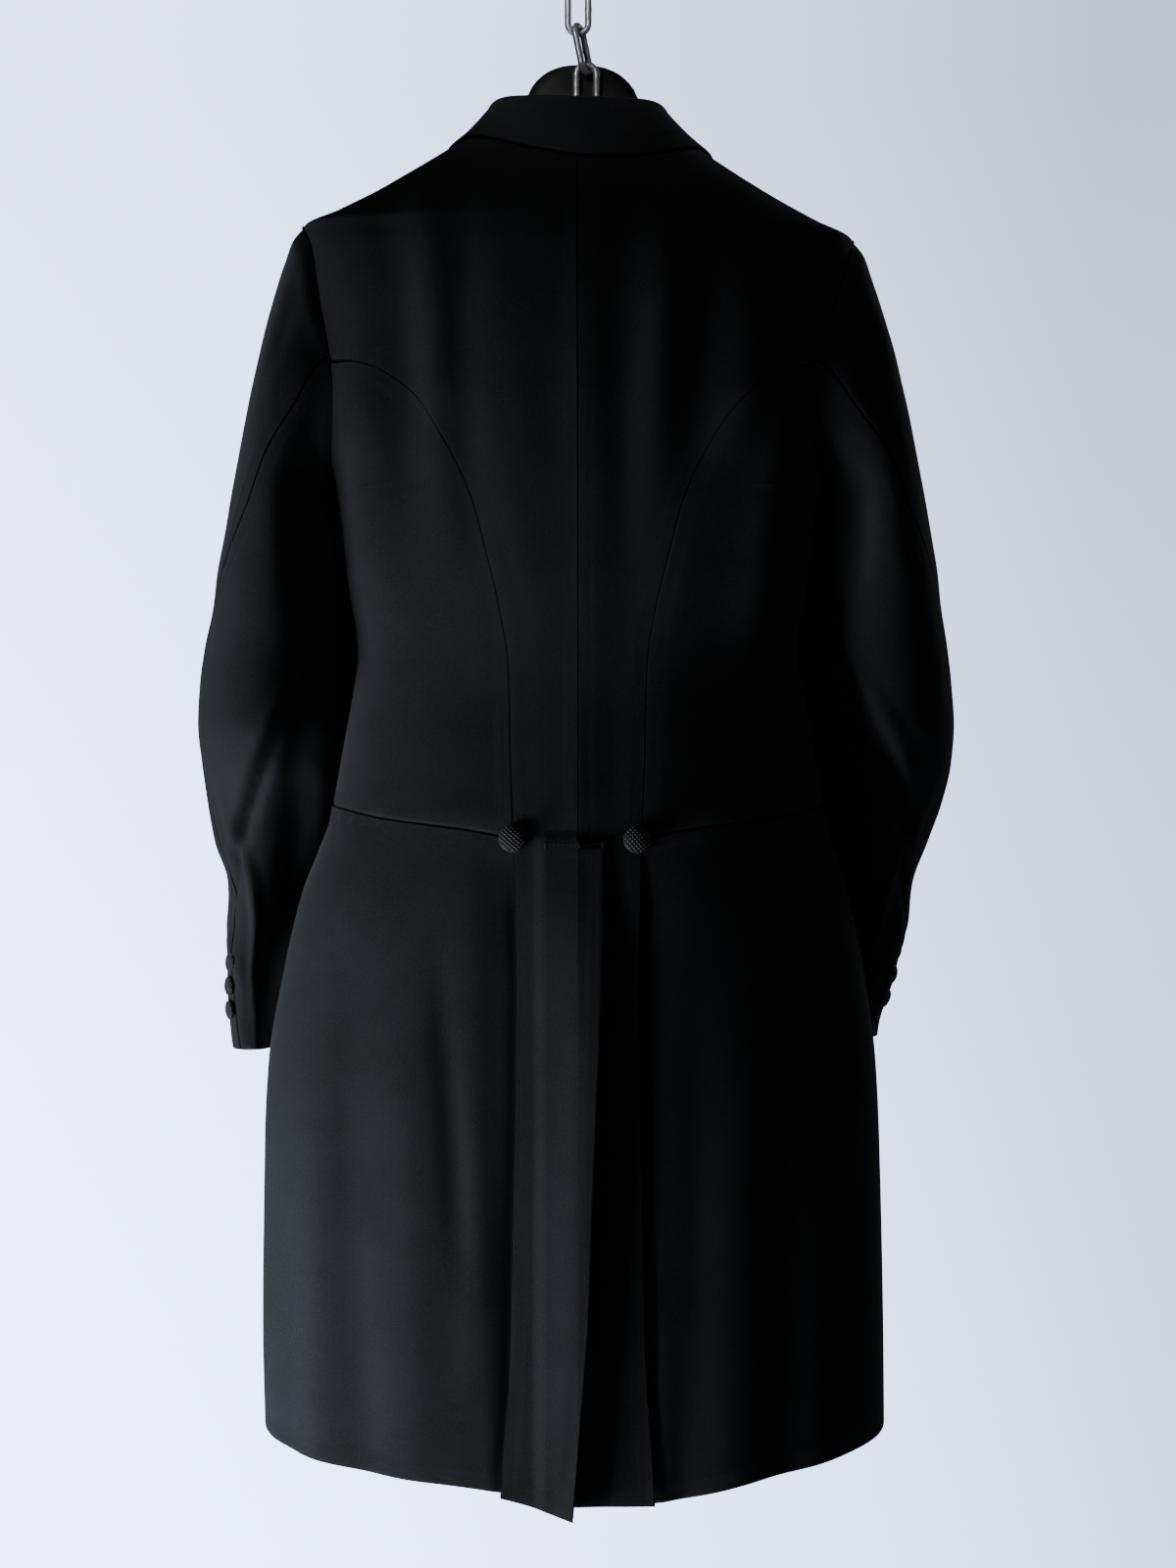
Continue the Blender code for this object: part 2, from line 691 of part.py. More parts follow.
def make_lapel(side):
    rows = []
    for level in LAPEL_ROWS:
        end = table_value(FRONT_EDGE, level, 1) - LAPEL_SETBACK
        start = table_value(LAPEL_EDGE, level, 1)
        peak = 20.0 * (1.0 - ease(-206.0, -300.0, level))
        rows.append((side * start, side * end,
                     lambda angle, h=level, p=peak, s=start, e=end:
                     h - p * ease(0.0, 1.0, (abs(angle) - s) / (e - s))))
    name = "lapel_left" if side < 0 else "lapel_right"
    return panel(name, rows, LAPEL_COLUMNS, SILK, lift=LAPEL_LIFT + LAPEL_CLOTH, wall=LAPEL_CLOTH)


make_lapel(-1)
make_lapel(1)

# Tails: from the pleat beside the back strip, cut away to the front

TAIL_SHARES = (0.0, 0.02, 0.05, 0.10, 0.17, 0.26, 0.37, 0.48, 0.59, 0.70, 0.81, 0.91, 1.0)
TAIL_COLUMNS = 13
PLEAT_DEPTH = 3.4


def make_tail(side):
    outer, inner = [], []
    for share in TAIL_SHARES:
        level = -640.0 - 490.0 * share
        outer_row, inner_row = [], []
        distance = table_value(BACK_SEAM, min(level, -655.0), 1) + SEAM / MM + 0.1
        start = abs(body_angle(distance, level, 1))
        end = table_value(TAIL_FRONT, level, 1)
        for c in range(TAIL_COLUMNS + 1):
            angle = start + (end - start) * c / TAIL_COLUMNS
            top = table_value(WAIST_SEAM, angle, 1) - 0.5
            hem = table_value(TAIL_HEM, angle, 1 if side < 0 else 2)
            height = top + (hem - top) * share
            near = 1.0 - ease(distance, distance + 34.0, abs(body_point(angle, height).x) / MM)
            sink = -PLEAT_DEPTH * MM * near * ease(0.0, 0.12, share)
            point = coat_point(side * angle, height, sink)
            outer_row.append(point)
            inner_row.append(point - body_normal(side * angle, height) * CLOTH)
        outer.append(outer_row)
        inner.append(inner_row)
    name = "tail_left" if side < 0 else "tail_right"
    return make_wall(name, outer, inner, WOOL)


make_tail(-1)
make_tail(1)

# Collar: a folded band, stand inside and fall outside

# angle, height of the fold, how far the fold stands out from the neck seam, height of
# the fall's edge on the body on the left and the right
COLLAR = (
    (0.0, -118.0, -2.0, -162.0, -162.0),
    (30.0, -117.0, -4.0, -155.5, -161.0),
    (50.0, -115.5, -9.0, -148.5, -155.0),
    (65.0, -117.5, -13.0, -144.0, -149.0),
    (80.0, -124.0, -16.0, -141.5, -145.5),
    (95.0, -134.0, -12.0, -148.0, -150.0),
    (110.0, -149.0, -6.0, -168.0, -168.0),
    (125.0, -168.5, -1.0, -190.0, -190.0),
    (140.0, -190.0, 2.0, -212.0, -212.0),
)
COLLAR_END = 140.0
COLLAR_SPANS = 26
FOLD_RADIUS = 2.8
COLLAR_LIFT = 1.8
FALL_LIFT = 1.0 * MM
FALL_SWELL = 2.2 * MM


def collar_profile(angle):
    """Points of the middle of the collar's cloth, from the neck seam over to the edge."""
    size = abs(angle)
    neck = table_value(NECK_SEAM, size, 1)
    fold = table_value(COLLAR, size, 1)
    out = table_value(COLLAR, size, 2)
    edge = table_value(COLLAR, size, 3 if angle < 0 else 4)
    normal = body_normal(angle, neck)
    flat = Vector((normal.x, normal.y, 0.0)).normalized()
    foot = body_point(angle, neck) - normal * CLOTH * 0.5 + Vector((0, 0, COLLAR_LIFT * MM))
    crest = Vector((foot.x, foot.y, fold * MM)) + flat * out * MM
    lip = body_point(angle, edge) + body_normal(angle, edge) * (FALL_LIFT + COLLAR_HALF)
    points = [foot]
    stand_top = crest - flat * FOLD_RADIUS * MM - Vector((0, 0, FOLD_RADIUS * MM))
    points.append(foot.lerp(stand_top, 0.5))
    points.append(stand_top)
    for turn in (45.0, 90.0, 135.0):
        bend = math.radians(turn)
        points.append(crest - Vector((0, 0, FOLD_RADIUS * MM))
                      - flat * math.cos(bend) * FOLD_RADIUS * MM
                      + Vector((0, 0, math.sin(bend) * FOLD_RADIUS * MM)))
    fall_top = crest + flat * FOLD_RADIUS * MM - Vector((0, 0, FOLD_RADIUS * MM))
    points.append(fall_top)
    swell = flat * FALL_SWELL
    points.append(fall_top.lerp(lip, 0.4) + swell)
    points.append(fall_top.lerp(lip, 0.75) + swell)
    points.append(lip)
    return points, flat


def make_collar():
    outer, inner = [], []
    for n in range(COLLAR_SPANS + 1):
        angle = -COLLAR_END + 2.0 * COLLAR_END * n / COLLAR_SPANS
        points, flat = collar_profile(angle)
        outer_row, inner_row = [], []
        for i, point in enumerate(points):
            ahead = points[min(i + 1, len(points) - 1)] - points[max(i - 1, 0)]
            slope = Vector((ahead.dot(flat), ahead.z))
            away = (flat * -slope.y + Vector((0, 0, slope.x))).normalized()
            outer_row.append(point + away * COLLAR_HALF)
            inner_row.append(point - away * COLLAR_HALF)
        outer.append(outer_row)
        inner.append(inner_row)
    return make_wall("collar", outer, inner, WOOL)


make_collar()


# Sleeves: a cap from the armhole, then rings down to the cuff


def sleeve_ring(side, height, turn):
    """Point of a level ring of the sleeve."""
    rows = SLEEVE_LEFT if side < 0 else SLEEVE_RIGHT
    outer = table_value(rows, height, 1)
    inner = table_value(rows, height, 2)
    back = table_value(rows, height, 3)
    front = table_value(rows, height, 4)
    power = table_value(rows, height, 5)
    bend = math.radians(turn)
    across, along = math.cos(bend), -math.sin(bend)
    reach = (abs(across) ** power + abs(along) ** power) ** (-1.0 / power)
    x = 0.5 * (outer + inner) + 0.5 * (outer - inner) * across * reach
    y = 0.5 * (front - back) + 0.5 * (front + back) * along * reach
    return Vector((side * x, y, height)) * MM


def sleeve_point(side, turn, down):
    """Point of the sleeve; down is 0 at the armhole, 1 at the first ring, 2 at the cuff."""
    rows = SLEEVE_LEFT if side < 0 else SLEEVE_RIGHT
    turn = turn % 360.0
    if down >= 1.0:
        height = SLEEVE_TOP_RING + (rows[-1][0] - SLEEVE_TOP_RING) * (down - 1.0)
        return sleeve_ring(side, height, turn)
    start, _ = armhole_point(side, turn)
    low = ease(-0.345, ARMHOLE_BOTTOM * MM, start.z)
    start = start + Vector((side * (CAP_GAP + UNDERARM_GAP * low), 0.0, 0.0))
    end = sleeve_ring(side, SLEEVE_TOP_RING, turn)
    below = sleeve_ring(side, SLEEVE_TOP_RING - 6.0, turn)
    reach = (end - start).length
    bend = math.radians(turn)
    leave = Vector((side, -0.25 * math.sin(bend), -0.3 - 0.85 * math.cos(bend) ** 2)).normalized()
    arrive = (below - end).normalized()
    a, b = leave * reach * 0.5, arrive * reach
    t = down
    return (start * ((1 + 2 * t) * (1 - t) ** 2) + a * (t * (1 - t) ** 2)
            + end * (t * t * (3 - 2 * t)) + b * (t * t * (t - 1)))


def sleeve_normal(side, turn, down):
    """Outward direction of the sleeve's surface."""
    step_turn, step_down = 2.0, 0.01
    low = max(down - step_down, 0.0)
    high = min(down + step_down, 2.0)
    round_way = sleeve_point(side, turn + step_turn, down) - sleeve_point(side, turn - step_turn, down)
    down_way = sleeve_point(side, turn, high) - sleeve_point(side, turn, low)
    return (round_way.cross(down_way) * side).normalized()


def sleeve_fold(turn, height):
    """How far the folds lift the sleeve's cloth."""
    total = 0.0
    for level, angle, half_height, half_angle, lift in SLEEVE_FOLDS:
        away_turn = ((turn - angle + 180.0) % 360.0 - 180.0) / half_angle
        away_up = (height - level + 0.12 * (turn - angle)) / half_height
        total += lift * math.exp(-away_turn ** 2 - away_up ** 2)
    return total * MM


def sleeve_surface(side, turn, down):
    """Outer point of the sleeve with folds, and the way out of the cloth there."""
    point = sleeve_point(side, turn, down)
    out = sleeve_normal(side, turn, down)
    if down < 1.0:
        _, body_out = armhole_point(side, turn % 360.0)
        apart = abs((turn % 360.0) - 180.0)
        share = ease(85.0, 35.0, apart)
        at_seam = (body_out * (1.0 - share) + out * share).normalized()
        hold = 1.0 - ease(0.0, 0.3, down)
        out = (out * (1.0 - hold) + at_seam * hold).normalized()
    return point + out * sleeve_fold(turn, point.z / MM) * ease(0.6, 1.0, down), out


SLEEVE_DOWNS = tuple(n / CAP_RINGS for n in range(CAP_RINGS)) + tuple(
    1.0 + n / 14.0 for n in range(15))


def seam_turn(side, turn, down):
    """Half of a seam's opening as an angle round the sleeve."""
    step = sleeve_point(side, turn + 1.0, down) - sleeve_point(side, turn - 1.0, down)
    return SEAM / step.length


def make_sleeve(side, name, top):
    outer, inner = [], []
    columns = TOP_SLEEVE_COLUMNS if top else UNDER_SLEEVE_COLUMNS
    for down in SLEEVE_DOWNS:
        outer_row, inner_row = [], []
        middle = sleeve_point(side, 90.0, down).z / MM
        back = table_value(SLEEVE_SEAMS, middle, 1)
        front = table_value(SLEEVE_SEAMS, middle, 2)
        back_open = seam_turn(side, back, down)
        front_open = seam_turn(side, front, down)
        if top:
            start, end = front + front_open - 360.0, back - back_open
        else:
            start, end = back + back_open, front - front_open
        for c in range(columns + 1):
            turn = start + (end - start) * c / columns
            point, out = sleeve_surface(side, turn, down)
            outer_row.append(point)
            inner_row.append(point - out * CLOTH)
        outer.append(outer_row)
        inner.append(inner_row)
    return make_wall(name, outer, inner, WOOL)


for side, word in ((-1, "left"), (1, "right")):
    make_sleeve(side, "sleeve_top_" + word, True)
    make_sleeve(side, "sleeve_under_" + word, False)

# Buttons: low covered domes standing on the cloth

BUTTON_SIDES = 12
BUTTON_PROFILE = ((0.84, 0.0), (1.0, 0.35), (0.74, 0.86), (0.36, 1.0))


def make_button(name, place, out, radius):
    """Dome of turned rings standing on its place along the way out."""
    height = radius * BUTTON_HEIGHT_SHARE
    bm = bmesh.new()
    rings = []
    for reach, rise in BUTTON_PROFILE:
        ring = []
        for n in range(BUTTON_SIDES):
            turn = 2.0 * math.pi * n / BUTTON_SIDES
            ring.append(bm.verts.new((math.cos(turn) * reach * radius,
                                      math.sin(turn) * reach * radius, rise * height)))
        rings.append(ring)
    for low, high in zip(rings, rings[1:]):
        for n in range(BUTTON_SIDES):
            m = (n + 1) % BUTTON_SIDES
            bm.faces.new((low[n], low[m], high[m], high[n]))
    bm.faces.new(rings[0])
    bm.faces.new(rings[-1])
    bmesh.ops.recalc_face_normals(bm, faces=bm.faces)
    turned = Vector((0, 0, 1)).rotation_difference(out).to_matrix().to_4x4()
    bmesh.ops.transform(bm, matrix=Matrix.Translation(place) @ turned, verts=bm.verts)
    mesh = bpy.data.meshes.new(name)
    bm.to_mesh(mesh)
    bm.free()
    return add_object(name, mesh, COVER)


BACK_BUTTON_LIFT = 0.7 * MM
BACK_BUTTONS = (("left", -1, 46.6, -655.3), ("right", 1, 42.4, -656.0))
for word, side, distance, height in BACK_BUTTONS:
    angle = body_angle(distance, height, side)
    out = body_normal(angle, height)
    place = settle(coat_point(angle, height) + out * BACK_BUTTON_LIFT)
    make_button("back_button_" + word, place, out, BACK_BUTTON_RADIUS)

CUFF_BUTTON_TURN = 50.0
CUFF_BUTTON_LIFT = 0.2 * MM
CUFF_BUTTON_HEIGHTS = {-1: (-749.5, -767.5, -785.5), 1: (-742.0, -760.0, -778.0)}
for side, word in ((-1, "left"), (1, "right")):
    rows = SLEEVE_LEFT if side < 0 else SLEEVE_RIGHT
    for n, height in enumerate(CUFF_BUTTON_HEIGHTS[side]):
        down = 1.0 + (height - SLEEVE_TOP_RING) / (rows[-1][0] - SLEEVE_TOP_RING)
        point, out = sleeve_surface(side, CUFF_BUTTON_TURN, down)
        place = settle(point + out * CUFF_BUTTON_LIFT)
        make_button("cuff_button_%s_%d" % (word, n + 1), place, out, CUFF_BUTTON_RADIUS)

FRONT_BUTTONS = (      # height, angle, lift from the cloth in millimetres
    (-470.0, 122.0, 0.50),
    (-535.0, 127.0, 0.75),
    (-600.0, 132.0, 0.65),
)
for side, word in ((-1, "left"), (1, "right")):
    for n, (height, angle, lift) in enumerate(FRONT_BUTTONS):
        out = body_normal(side * angle, height)
        place = settle(coat_point(side * angle, height) + out * lift * MM)
        make_button("front_button_%s_%d" % (word, n + 1), place, out, FRONT_BUTTON_RADIUS)


# Hanger: one moulded body, a domed neck and two wide arms


def make_hanger():
    stations = []
    for distance, top, bottom, depth in reversed(HANGER):
        stations.append((-distance, top, bottom, depth))
    for distance, top, bottom, depth in HANGER[1:]:
        stations.append((distance, top, bottom, depth))
    bm = bmesh.new()
    rings = []
    for distance, top, bottom, depth in stations:
        shift = HANGER_SHIFT * (1.0 - ease(40.0, 90.0, abs(distance)))
        middle, half = 0.5 * (top + bottom), 0.5 * (top - bottom)
        ring = []
        for n in range(HANGER_SIDES):
            turn = 2.0 * math.pi * n / HANGER_SIDES
            c, s = math.cos(turn), math.sin(turn)
            reach = (abs(c) ** 2.3 + abs(s) ** 2.3) ** (-1.0 / 2.3)
            point = Vector((distance + shift, depth * s * reach, middle + half * c * reach)) * MM
            ring.append(bm.verts.new(settle(point)))
        rings.append(ring)
    for one, two in zip(rings, rings[1:]):
        for n in range(HANGER_SIDES):
            m = (n + 1) % HANGER_SIDES
            bm.faces.new((one[n], one[m], two[m], two[n]))
    bm.faces.new(rings[0])
    bm.faces.new(rings[-1])
    bmesh.ops.recalc_face_normals(bm, faces=bm.faces)
    mesh = bpy.data.meshes.new("hanger")
    bm.to_mesh(mesh)
    bm.free()
    return add_object("hanger", mesh, PLASTIC)


make_hanger()

# Chain and eye: round wire swept along a path


def make_wire(name, path, radius, sides, closed):
    """Round wire along a flat path in the XZ plane, given with its way ahead."""
    bm = bmesh.new()
    rings = []
    for place, ahead in path:
        across = Vector((0, 1, 0))
        other = ahead.cross(across).normalized()
        ring = []
        for n in range(sides):
            turn = 2.0 * math.pi * n / sides
            offset = across * math.cos(turn) + other * math.sin(turn)
            ring.append(bm.verts.new(place + offset * radius))
        rings.append(ring)
    pairs = list(zip(rings, rings[1:]))
    if closed:
        pairs.append((rings[-1], rings[0]))
    for one, two in pairs:
        for n in range(sides):
            m = (n + 1) % sides
            bm.faces.new((one[n], one[m], two[m], two[n]))
    if not closed:
        bm.faces.new(rings[0])
        bm.faces.new(rings[-1])
    bmesh.ops.recalc_face_normals(bm, faces=bm.faces)
    return bm


LINK_BENDS = 7
LINK_SIDES = 8


def make_link(index):
    bend = 0.5 * LINK_WIDTH - WIRE_RADIUS
    top = -bend + WIRE_RADIUS
    bottom = -LINK_HOLE_LENGTH + bend - WIRE_RADIUS
    path = []
    for height, first in ((top, 0.0), (bottom, 180.0)):
        for n in range(LINK_BENDS):
            turn = math.radians(first + 180.0 * n / (LINK_BENDS - 1))
            place = Vector((math.cos(turn) * bend, 0.0, height + math.sin(turn) * bend))
            path.append((place, Vector((-math.sin(turn), 0.0, math.cos(turn)))))
    name = "chain_link_%d" % index
    bm = make_wire(name, path, WIRE_RADIUS, LINK_SIDES, True)
    tilt = Matrix.Rotation(math.radians(LINK_TILTS[index]), 4, "Y")
    turned = Matrix.Rotation(math.radians(LINK_TURNS[index]), 4, "Z")
    middle = Vector((0, 0, 0.5 * LINK_HOLE_LENGTH))
    place = Vector((LINK_OFFSETS[index] * MM, 0.0, LINK_TOPS[index] * MM))
    whole = (Matrix.Translation(place - middle) @ tilt @ turned @ Matrix.Translation(middle))
    bmesh.ops.transform(bm, matrix=whole, verts=bm.verts)
    mesh = bpy.data.meshes.new(name)
    bm.to_mesh(mesh)
    bm.free()
    return add_object(name, mesh, ZINC)


for index in range(4):
    make_link(index)

EYE_ENDS = 2.5 * MM


def make_eye():
    """Staple in the hanger's neck, round the bottom of the last link."""
    centre = LINK_TOPS[3] * MM - LINK_HOLE_LENGTH - WIRE_RADIUS
    path = [(Vector((EYE_ENDS, 0.0, EYE_BEND)), Vector((-1, 0, 0)))]
    for n in range(9):
        turn = math.radians(90.0 + 180.0 * n / 8)
        place = Vector((math.cos(turn), 0.0, math.sin(turn))) * EYE_BEND
        path.append((place, Vector((-math.sin(turn), 0.0, math.cos(turn)))))
    path.append((Vector((EYE_ENDS, 0.0, -EYE_BEND)), Vector((1, 0, 0))))
    bm = make_wire("hanger_eye", path, EYE_WIRE, 8, False)
    turned = Matrix.Rotation(math.radians(90.0), 4, "Z")
    place = Vector((LINK_OFFSETS[3] * MM, 0.0, centre))
    bmesh.ops.transform(bm, matrix=Matrix.Translation(place) @ turned, verts=bm.verts)
    mesh = bpy.data.meshes.new("hanger_eye")
    bm.to_mesh(mesh)
    bm.free()
    return add_object("hanger_eye", mesh, ZINC)


make_eye()
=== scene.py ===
"""White tie tailcoat seen from behind, on a moulded shoulder hanger that hangs by a chain.

The coat is built as it is sewn: backs, side bodies, foreparts, tails, collar, lapels,
sleeves and buttons. Sizes are in millimetres until a mesh is written, and then in metres,
as all of the studio's are.
"""

import math

import bmesh
import bpy
import numpy as np
from mathutils import Matrix, Vector, kdtree, noise


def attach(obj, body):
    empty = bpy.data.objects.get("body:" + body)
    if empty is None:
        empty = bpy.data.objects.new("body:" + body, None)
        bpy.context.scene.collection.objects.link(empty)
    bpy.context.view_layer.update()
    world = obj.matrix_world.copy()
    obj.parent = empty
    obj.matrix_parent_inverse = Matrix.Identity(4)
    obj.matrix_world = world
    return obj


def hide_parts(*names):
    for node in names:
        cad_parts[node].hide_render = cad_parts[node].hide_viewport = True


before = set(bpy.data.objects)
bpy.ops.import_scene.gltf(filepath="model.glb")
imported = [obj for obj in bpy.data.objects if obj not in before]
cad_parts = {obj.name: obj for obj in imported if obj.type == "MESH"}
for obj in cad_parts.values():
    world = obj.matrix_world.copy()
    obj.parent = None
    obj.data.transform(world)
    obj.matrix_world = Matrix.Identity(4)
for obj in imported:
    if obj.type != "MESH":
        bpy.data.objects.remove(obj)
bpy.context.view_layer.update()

MM = 0.001

# Chain. Four welded links of 5 mm zinc-plated steel wire, each turned across the last.
# The top one goes over the hook, and the lowest holds the staple in the hanger's neck.

LINK_WIRE = 2.5
LINK_HOLE = 30.0
LINK_WIDTH = 20.0
# inner top of each link, turn about the upright, sideways shift, tilt
LINKS = (
    (0, 90, 0, 0),
    (-29.7, 0, 0, 0),
    (-58.6, 67, 3, -11.5),
    (-87.6, 0, 6, 0),
)


def new_material(name, colour, roughness, metallic=0.0):
    """Material with its own Principled shader; returns the tree and the shader too."""
    surface = bpy.data.materials.new(name)
    surface.use_nodes = True
    tree = surface.node_tree
    shader = tree.nodes["Principled BSDF"]
    shader.inputs["Base Color"].default_value = (*colour, 1.0)
    shader.inputs["Roughness"].default_value = roughness
    shader.inputs["Metallic"].default_value = metallic
    return surface, tree, shader


def add_node(tree, kind, **values):
    """Node of a tree with its settings and socket values given by name."""
    node = tree.nodes.new(kind)
    for key, value in values.items():
        if hasattr(node, key):
            setattr(node, key, value)
        else:
            node.inputs[key.replace("_", " ")].default_value = value
    return node


def shade_mix(tree, mask, dark, light):
    """Colour that goes from dark to light with a mask."""
    mix = add_node(tree, "ShaderNodeMix", data_type="RGBA")
    mix.inputs[6].default_value = (*dark, 1.0)
    mix.inputs[7].default_value = (*light, 1.0)
    tree.links.new(mask, mix.inputs[0])
    return mix.outputs[2]


def stretch(tree, value, low, high, to_low, to_high):
    """Map a value from one range to another, held within it."""
    ranged = add_node(tree, "ShaderNodeMapRange", clamp=True)
    for socket, number in zip(ranged.inputs[1:5], (low, high, to_low, to_high)):
        socket.default_value = number
    tree.links.new(value, ranged.inputs[0])
    return ranged.outputs[0]


def new_group(name, inputs, outputs):
    """Group with its input and output nodes; a socket is a number unless it is a vector."""
    group = bpy.data.node_groups.new(name, "ShaderNodeTree")
    for way, words in (("INPUT", inputs), ("OUTPUT", outputs)):
        for word in words:
            kind = "NodeSocketVector" if word == "Vector" else "NodeSocketFloat"
            group.interface.new_socket(word, in_out=way, socket_type=kind)
    return group, add_node(group, "NodeGroupInput"), add_node(group, "NodeGroupOutput")


def speckle_group():
    """Group of two noises, coarse and fine, that metal, plastic and cloth all use."""
    group, start, end = new_group("uneven surface", ("Vector", "Coarse", "Fine"), ("Patches", "Grain"))
    for n, detail in ((0, 3.0), (1, 5.0)):
        cloud = add_node(group, "ShaderNodeTexNoise", Detail=detail, Roughness=0.6)
        group.links.new(start.outputs["Vector"], cloud.inputs["Vector"])
        group.links.new(start.outputs[n + 1], cloud.inputs["Scale"])
        group.links.new(cloud.outputs["Fac"], end.inputs[n])
    return group


UNEVEN = speckle_group()


def place_uneven(tree, coarse, fine, source=None):
    """Put the uneven surface group into a material, on object coordinates by default."""
    node = add_node(tree, "ShaderNodeGroup")
    node.node_tree = UNEVEN
    if source is None:
        source = add_node(tree, "ShaderNodeTexCoord").outputs["Object"]
    tree.links.new(source, node.inputs["Vector"])
    node.inputs["Coarse"].default_value = coarse
    node.inputs["Fine"].default_value = fine
    return node


def add_bump(tree, shader, height, distance, strength=1.0):
    """Relief from a height, in metres at full height."""
    bump = add_node(tree, "ShaderNodeBump", Strength=strength, Distance=distance)
    tree.links.new(height, bump.inputs["Height"])
    tree.links.new(bump.outputs["Normal"], shader.inputs["Normal"])
    return bump


def zinc_finish():
    """Zinc plate with dull, darker patches scattered over it and a fine grain."""
    surface, tree, shader = new_material("zinc plate", (0.55, 0.56, 0.58), 0.40, 0.65)
    patches = place_uneven(tree, 160.0, 900.0)
    shader_colour = shade_mix(tree, stretch(tree, patches.outputs[0], 0.35, 0.65, 0.0, 1.0),
                              (0.42, 0.43, 0.45), (0.70, 0.71, 0.74))
    tree.links.new(shader_colour, shader.inputs["Base Color"])
    tree.links.new(stretch(tree, patches.outputs[0], 0.3, 0.7, 0.5, 0.24), shader.inputs["Roughness"])
    add_bump(tree, shader, patches.outputs[1], 0.00012, 0.5)
    return surface


ZINC = zinc_finish()


def finish_piece(name, bm, materials, node):
    """Turn a mesh into a smooth piece that stands for a node and rides on the coat."""
    mesh = bpy.data.meshes.new(name)
    bm.to_mesh(mesh)
    bm.free()
    mesh.shade_smooth()
    for surface in materials:
        mesh.materials.append(surface)
    piece = bpy.data.objects.new(name, mesh)
    bpy.context.scene.collection.objects.link(piece)
    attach(piece, "root")
    if node:
        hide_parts(node)
    return piece


def bent_wire(bm, edges, centre, axis, angle, steps):
    """Sweep the open end of a wire round a centre and return its new end."""
    swept = bmesh.ops.spin(bm, geom=edges, cent=centre, axis=axis, angle=angle, steps=steps,
                           use_merge=False, use_duplicate=False)
    return [item for item in swept["geom_last"] if isinstance(item, bmesh.types.BMEdge)]


def straight_wire(bm, edges, step, count, swell=0.0):
    """Draw the open end of a wire straight on in equal steps, swollen at the middle."""
    for n in range(count):
        drawn = bmesh.ops.extrude_edge_only(bm, edges=edges)["geom"]
        edges = [item for item in drawn if isinstance(item, bmesh.types.BMEdge)]
        verts = [item for item in drawn if isinstance(item, bmesh.types.BMVert)]
        bmesh.ops.translate(bm, verts=verts, vec=step / count)
        middle = sum((vert.co for vert in verts), Vector()) / len(verts)
        grow = {count // 2 - 1: 1.0 + swell, count // 2: 1.0 / (1.0 + swell)}.get(n, 1.0)
        bmesh.ops.scale(bm, verts=verts, vec=(grow, grow, 1.0), space=Matrix.Translation(-middle))
    return edges


WIRE_SIDES = 20
BEND_STEPS = 18
WELD_SWELL = 0.10
LINK_STEPS = 6                 # steps along each straight side


def wire_ring(bm, radius, matrix):
    """Open end of a wire; returns its edges."""
    ring = bmesh.ops.create_circle(bm, segments=WIRE_SIDES, radius=radius * MM, matrix=matrix)
    return list({edge for vert in ring["verts"] for edge in vert.link_edges})


def make_link(index):
    """One oval link, swollen a little where it is welded."""
    top_in, turn, shift, tilt = LINKS[index]
    bend = (0.5 * LINK_WIDTH - LINK_WIRE) * MM
    top = -bend + LINK_WIRE * MM
    bottom = -LINK_HOLE * MM + bend - LINK_WIRE * MM
    bm = bmesh.new()
    edges = wire_ring(bm, LINK_WIRE, Matrix.Translation((bend, 0.0, bottom)))
    rise = Vector((0.0, 0.0, top - bottom))
    edges = straight_wire(bm, edges, rise, LINK_STEPS, WELD_SWELL)
    edges = bent_wire(bm, edges, (0.0, 0.0, top), (0.0, -1.0, 0.0), math.pi, BEND_STEPS)
    edges = straight_wire(bm, edges, -rise, LINK_STEPS)
    bent_wire(bm, edges, (0.0, 0.0, bottom), (0.0, -1.0, 0.0), math.pi, BEND_STEPS)
    bmesh.ops.remove_doubles(bm, verts=bm.verts, dist=0.02 * MM)
    bmesh.ops.recalc_face_normals(bm, faces=bm.faces)
    middle = Vector((0.0, 0.0, 0.5 * LINK_HOLE * MM))
    place = Vector((shift * MM, 0.0, top_in * MM))
    whole = (Matrix.Translation(place - middle) @ Matrix.Rotation(math.radians(tilt), 4, "Y")
             @ Matrix.Rotation(math.radians(turn), 4, "Z") @ Matrix.Translation(middle))
    bmesh.ops.transform(bm, matrix=whole, verts=bm.verts)
    name = "chain_link_%d" % index
    return finish_piece("link_%d" % index, bm, [ZINC], name)


for index in range(4):
    make_link(index)

# Staple. A bent length of 4 mm zinc-plated wire set into the back of the hanger's neck,
# round the bottom of the lowest link.

STAPLE_WIRE = 2.0
STAPLE_BEND = 5.0
STAPLE_LEG = 4.0               # how far each leg runs on into the moulding


def make_staple():
    """Bent wire with both legs run into the moulding."""
    height = (LINKS[3][0] - LINK_HOLE - LINK_WIRE) * MM
    across = LINKS[3][2] * MM
    bend, leg = STAPLE_BEND * MM, STAPLE_LEG * MM
    bm = bmesh.new()
    start = Matrix.Translation((across, leg, height + bend)) @ Matrix.Rotation(math.pi / 2, 4, "X")
    edges = straight_wire(bm, wire_ring(bm, STAPLE_WIRE, start), Vector((0.0, -leg, 0.0)), 1)
    edges = bent_wire(bm, edges, (across, 0.0, height), (1.0, 0.0, 0.0), math.pi, BEND_STEPS)
    straight_wire(bm, edges, Vector((0.0, leg, 0.0)), 1)
    bmesh.ops.holes_fill(bm, edges=[edge for edge in bm.edges if edge.is_boundary])
    bmesh.ops.recalc_face_normals(bm, faces=bm.faces)
    return finish_piece("staple", bm, [ZINC], "hanger_eye")


make_staple()

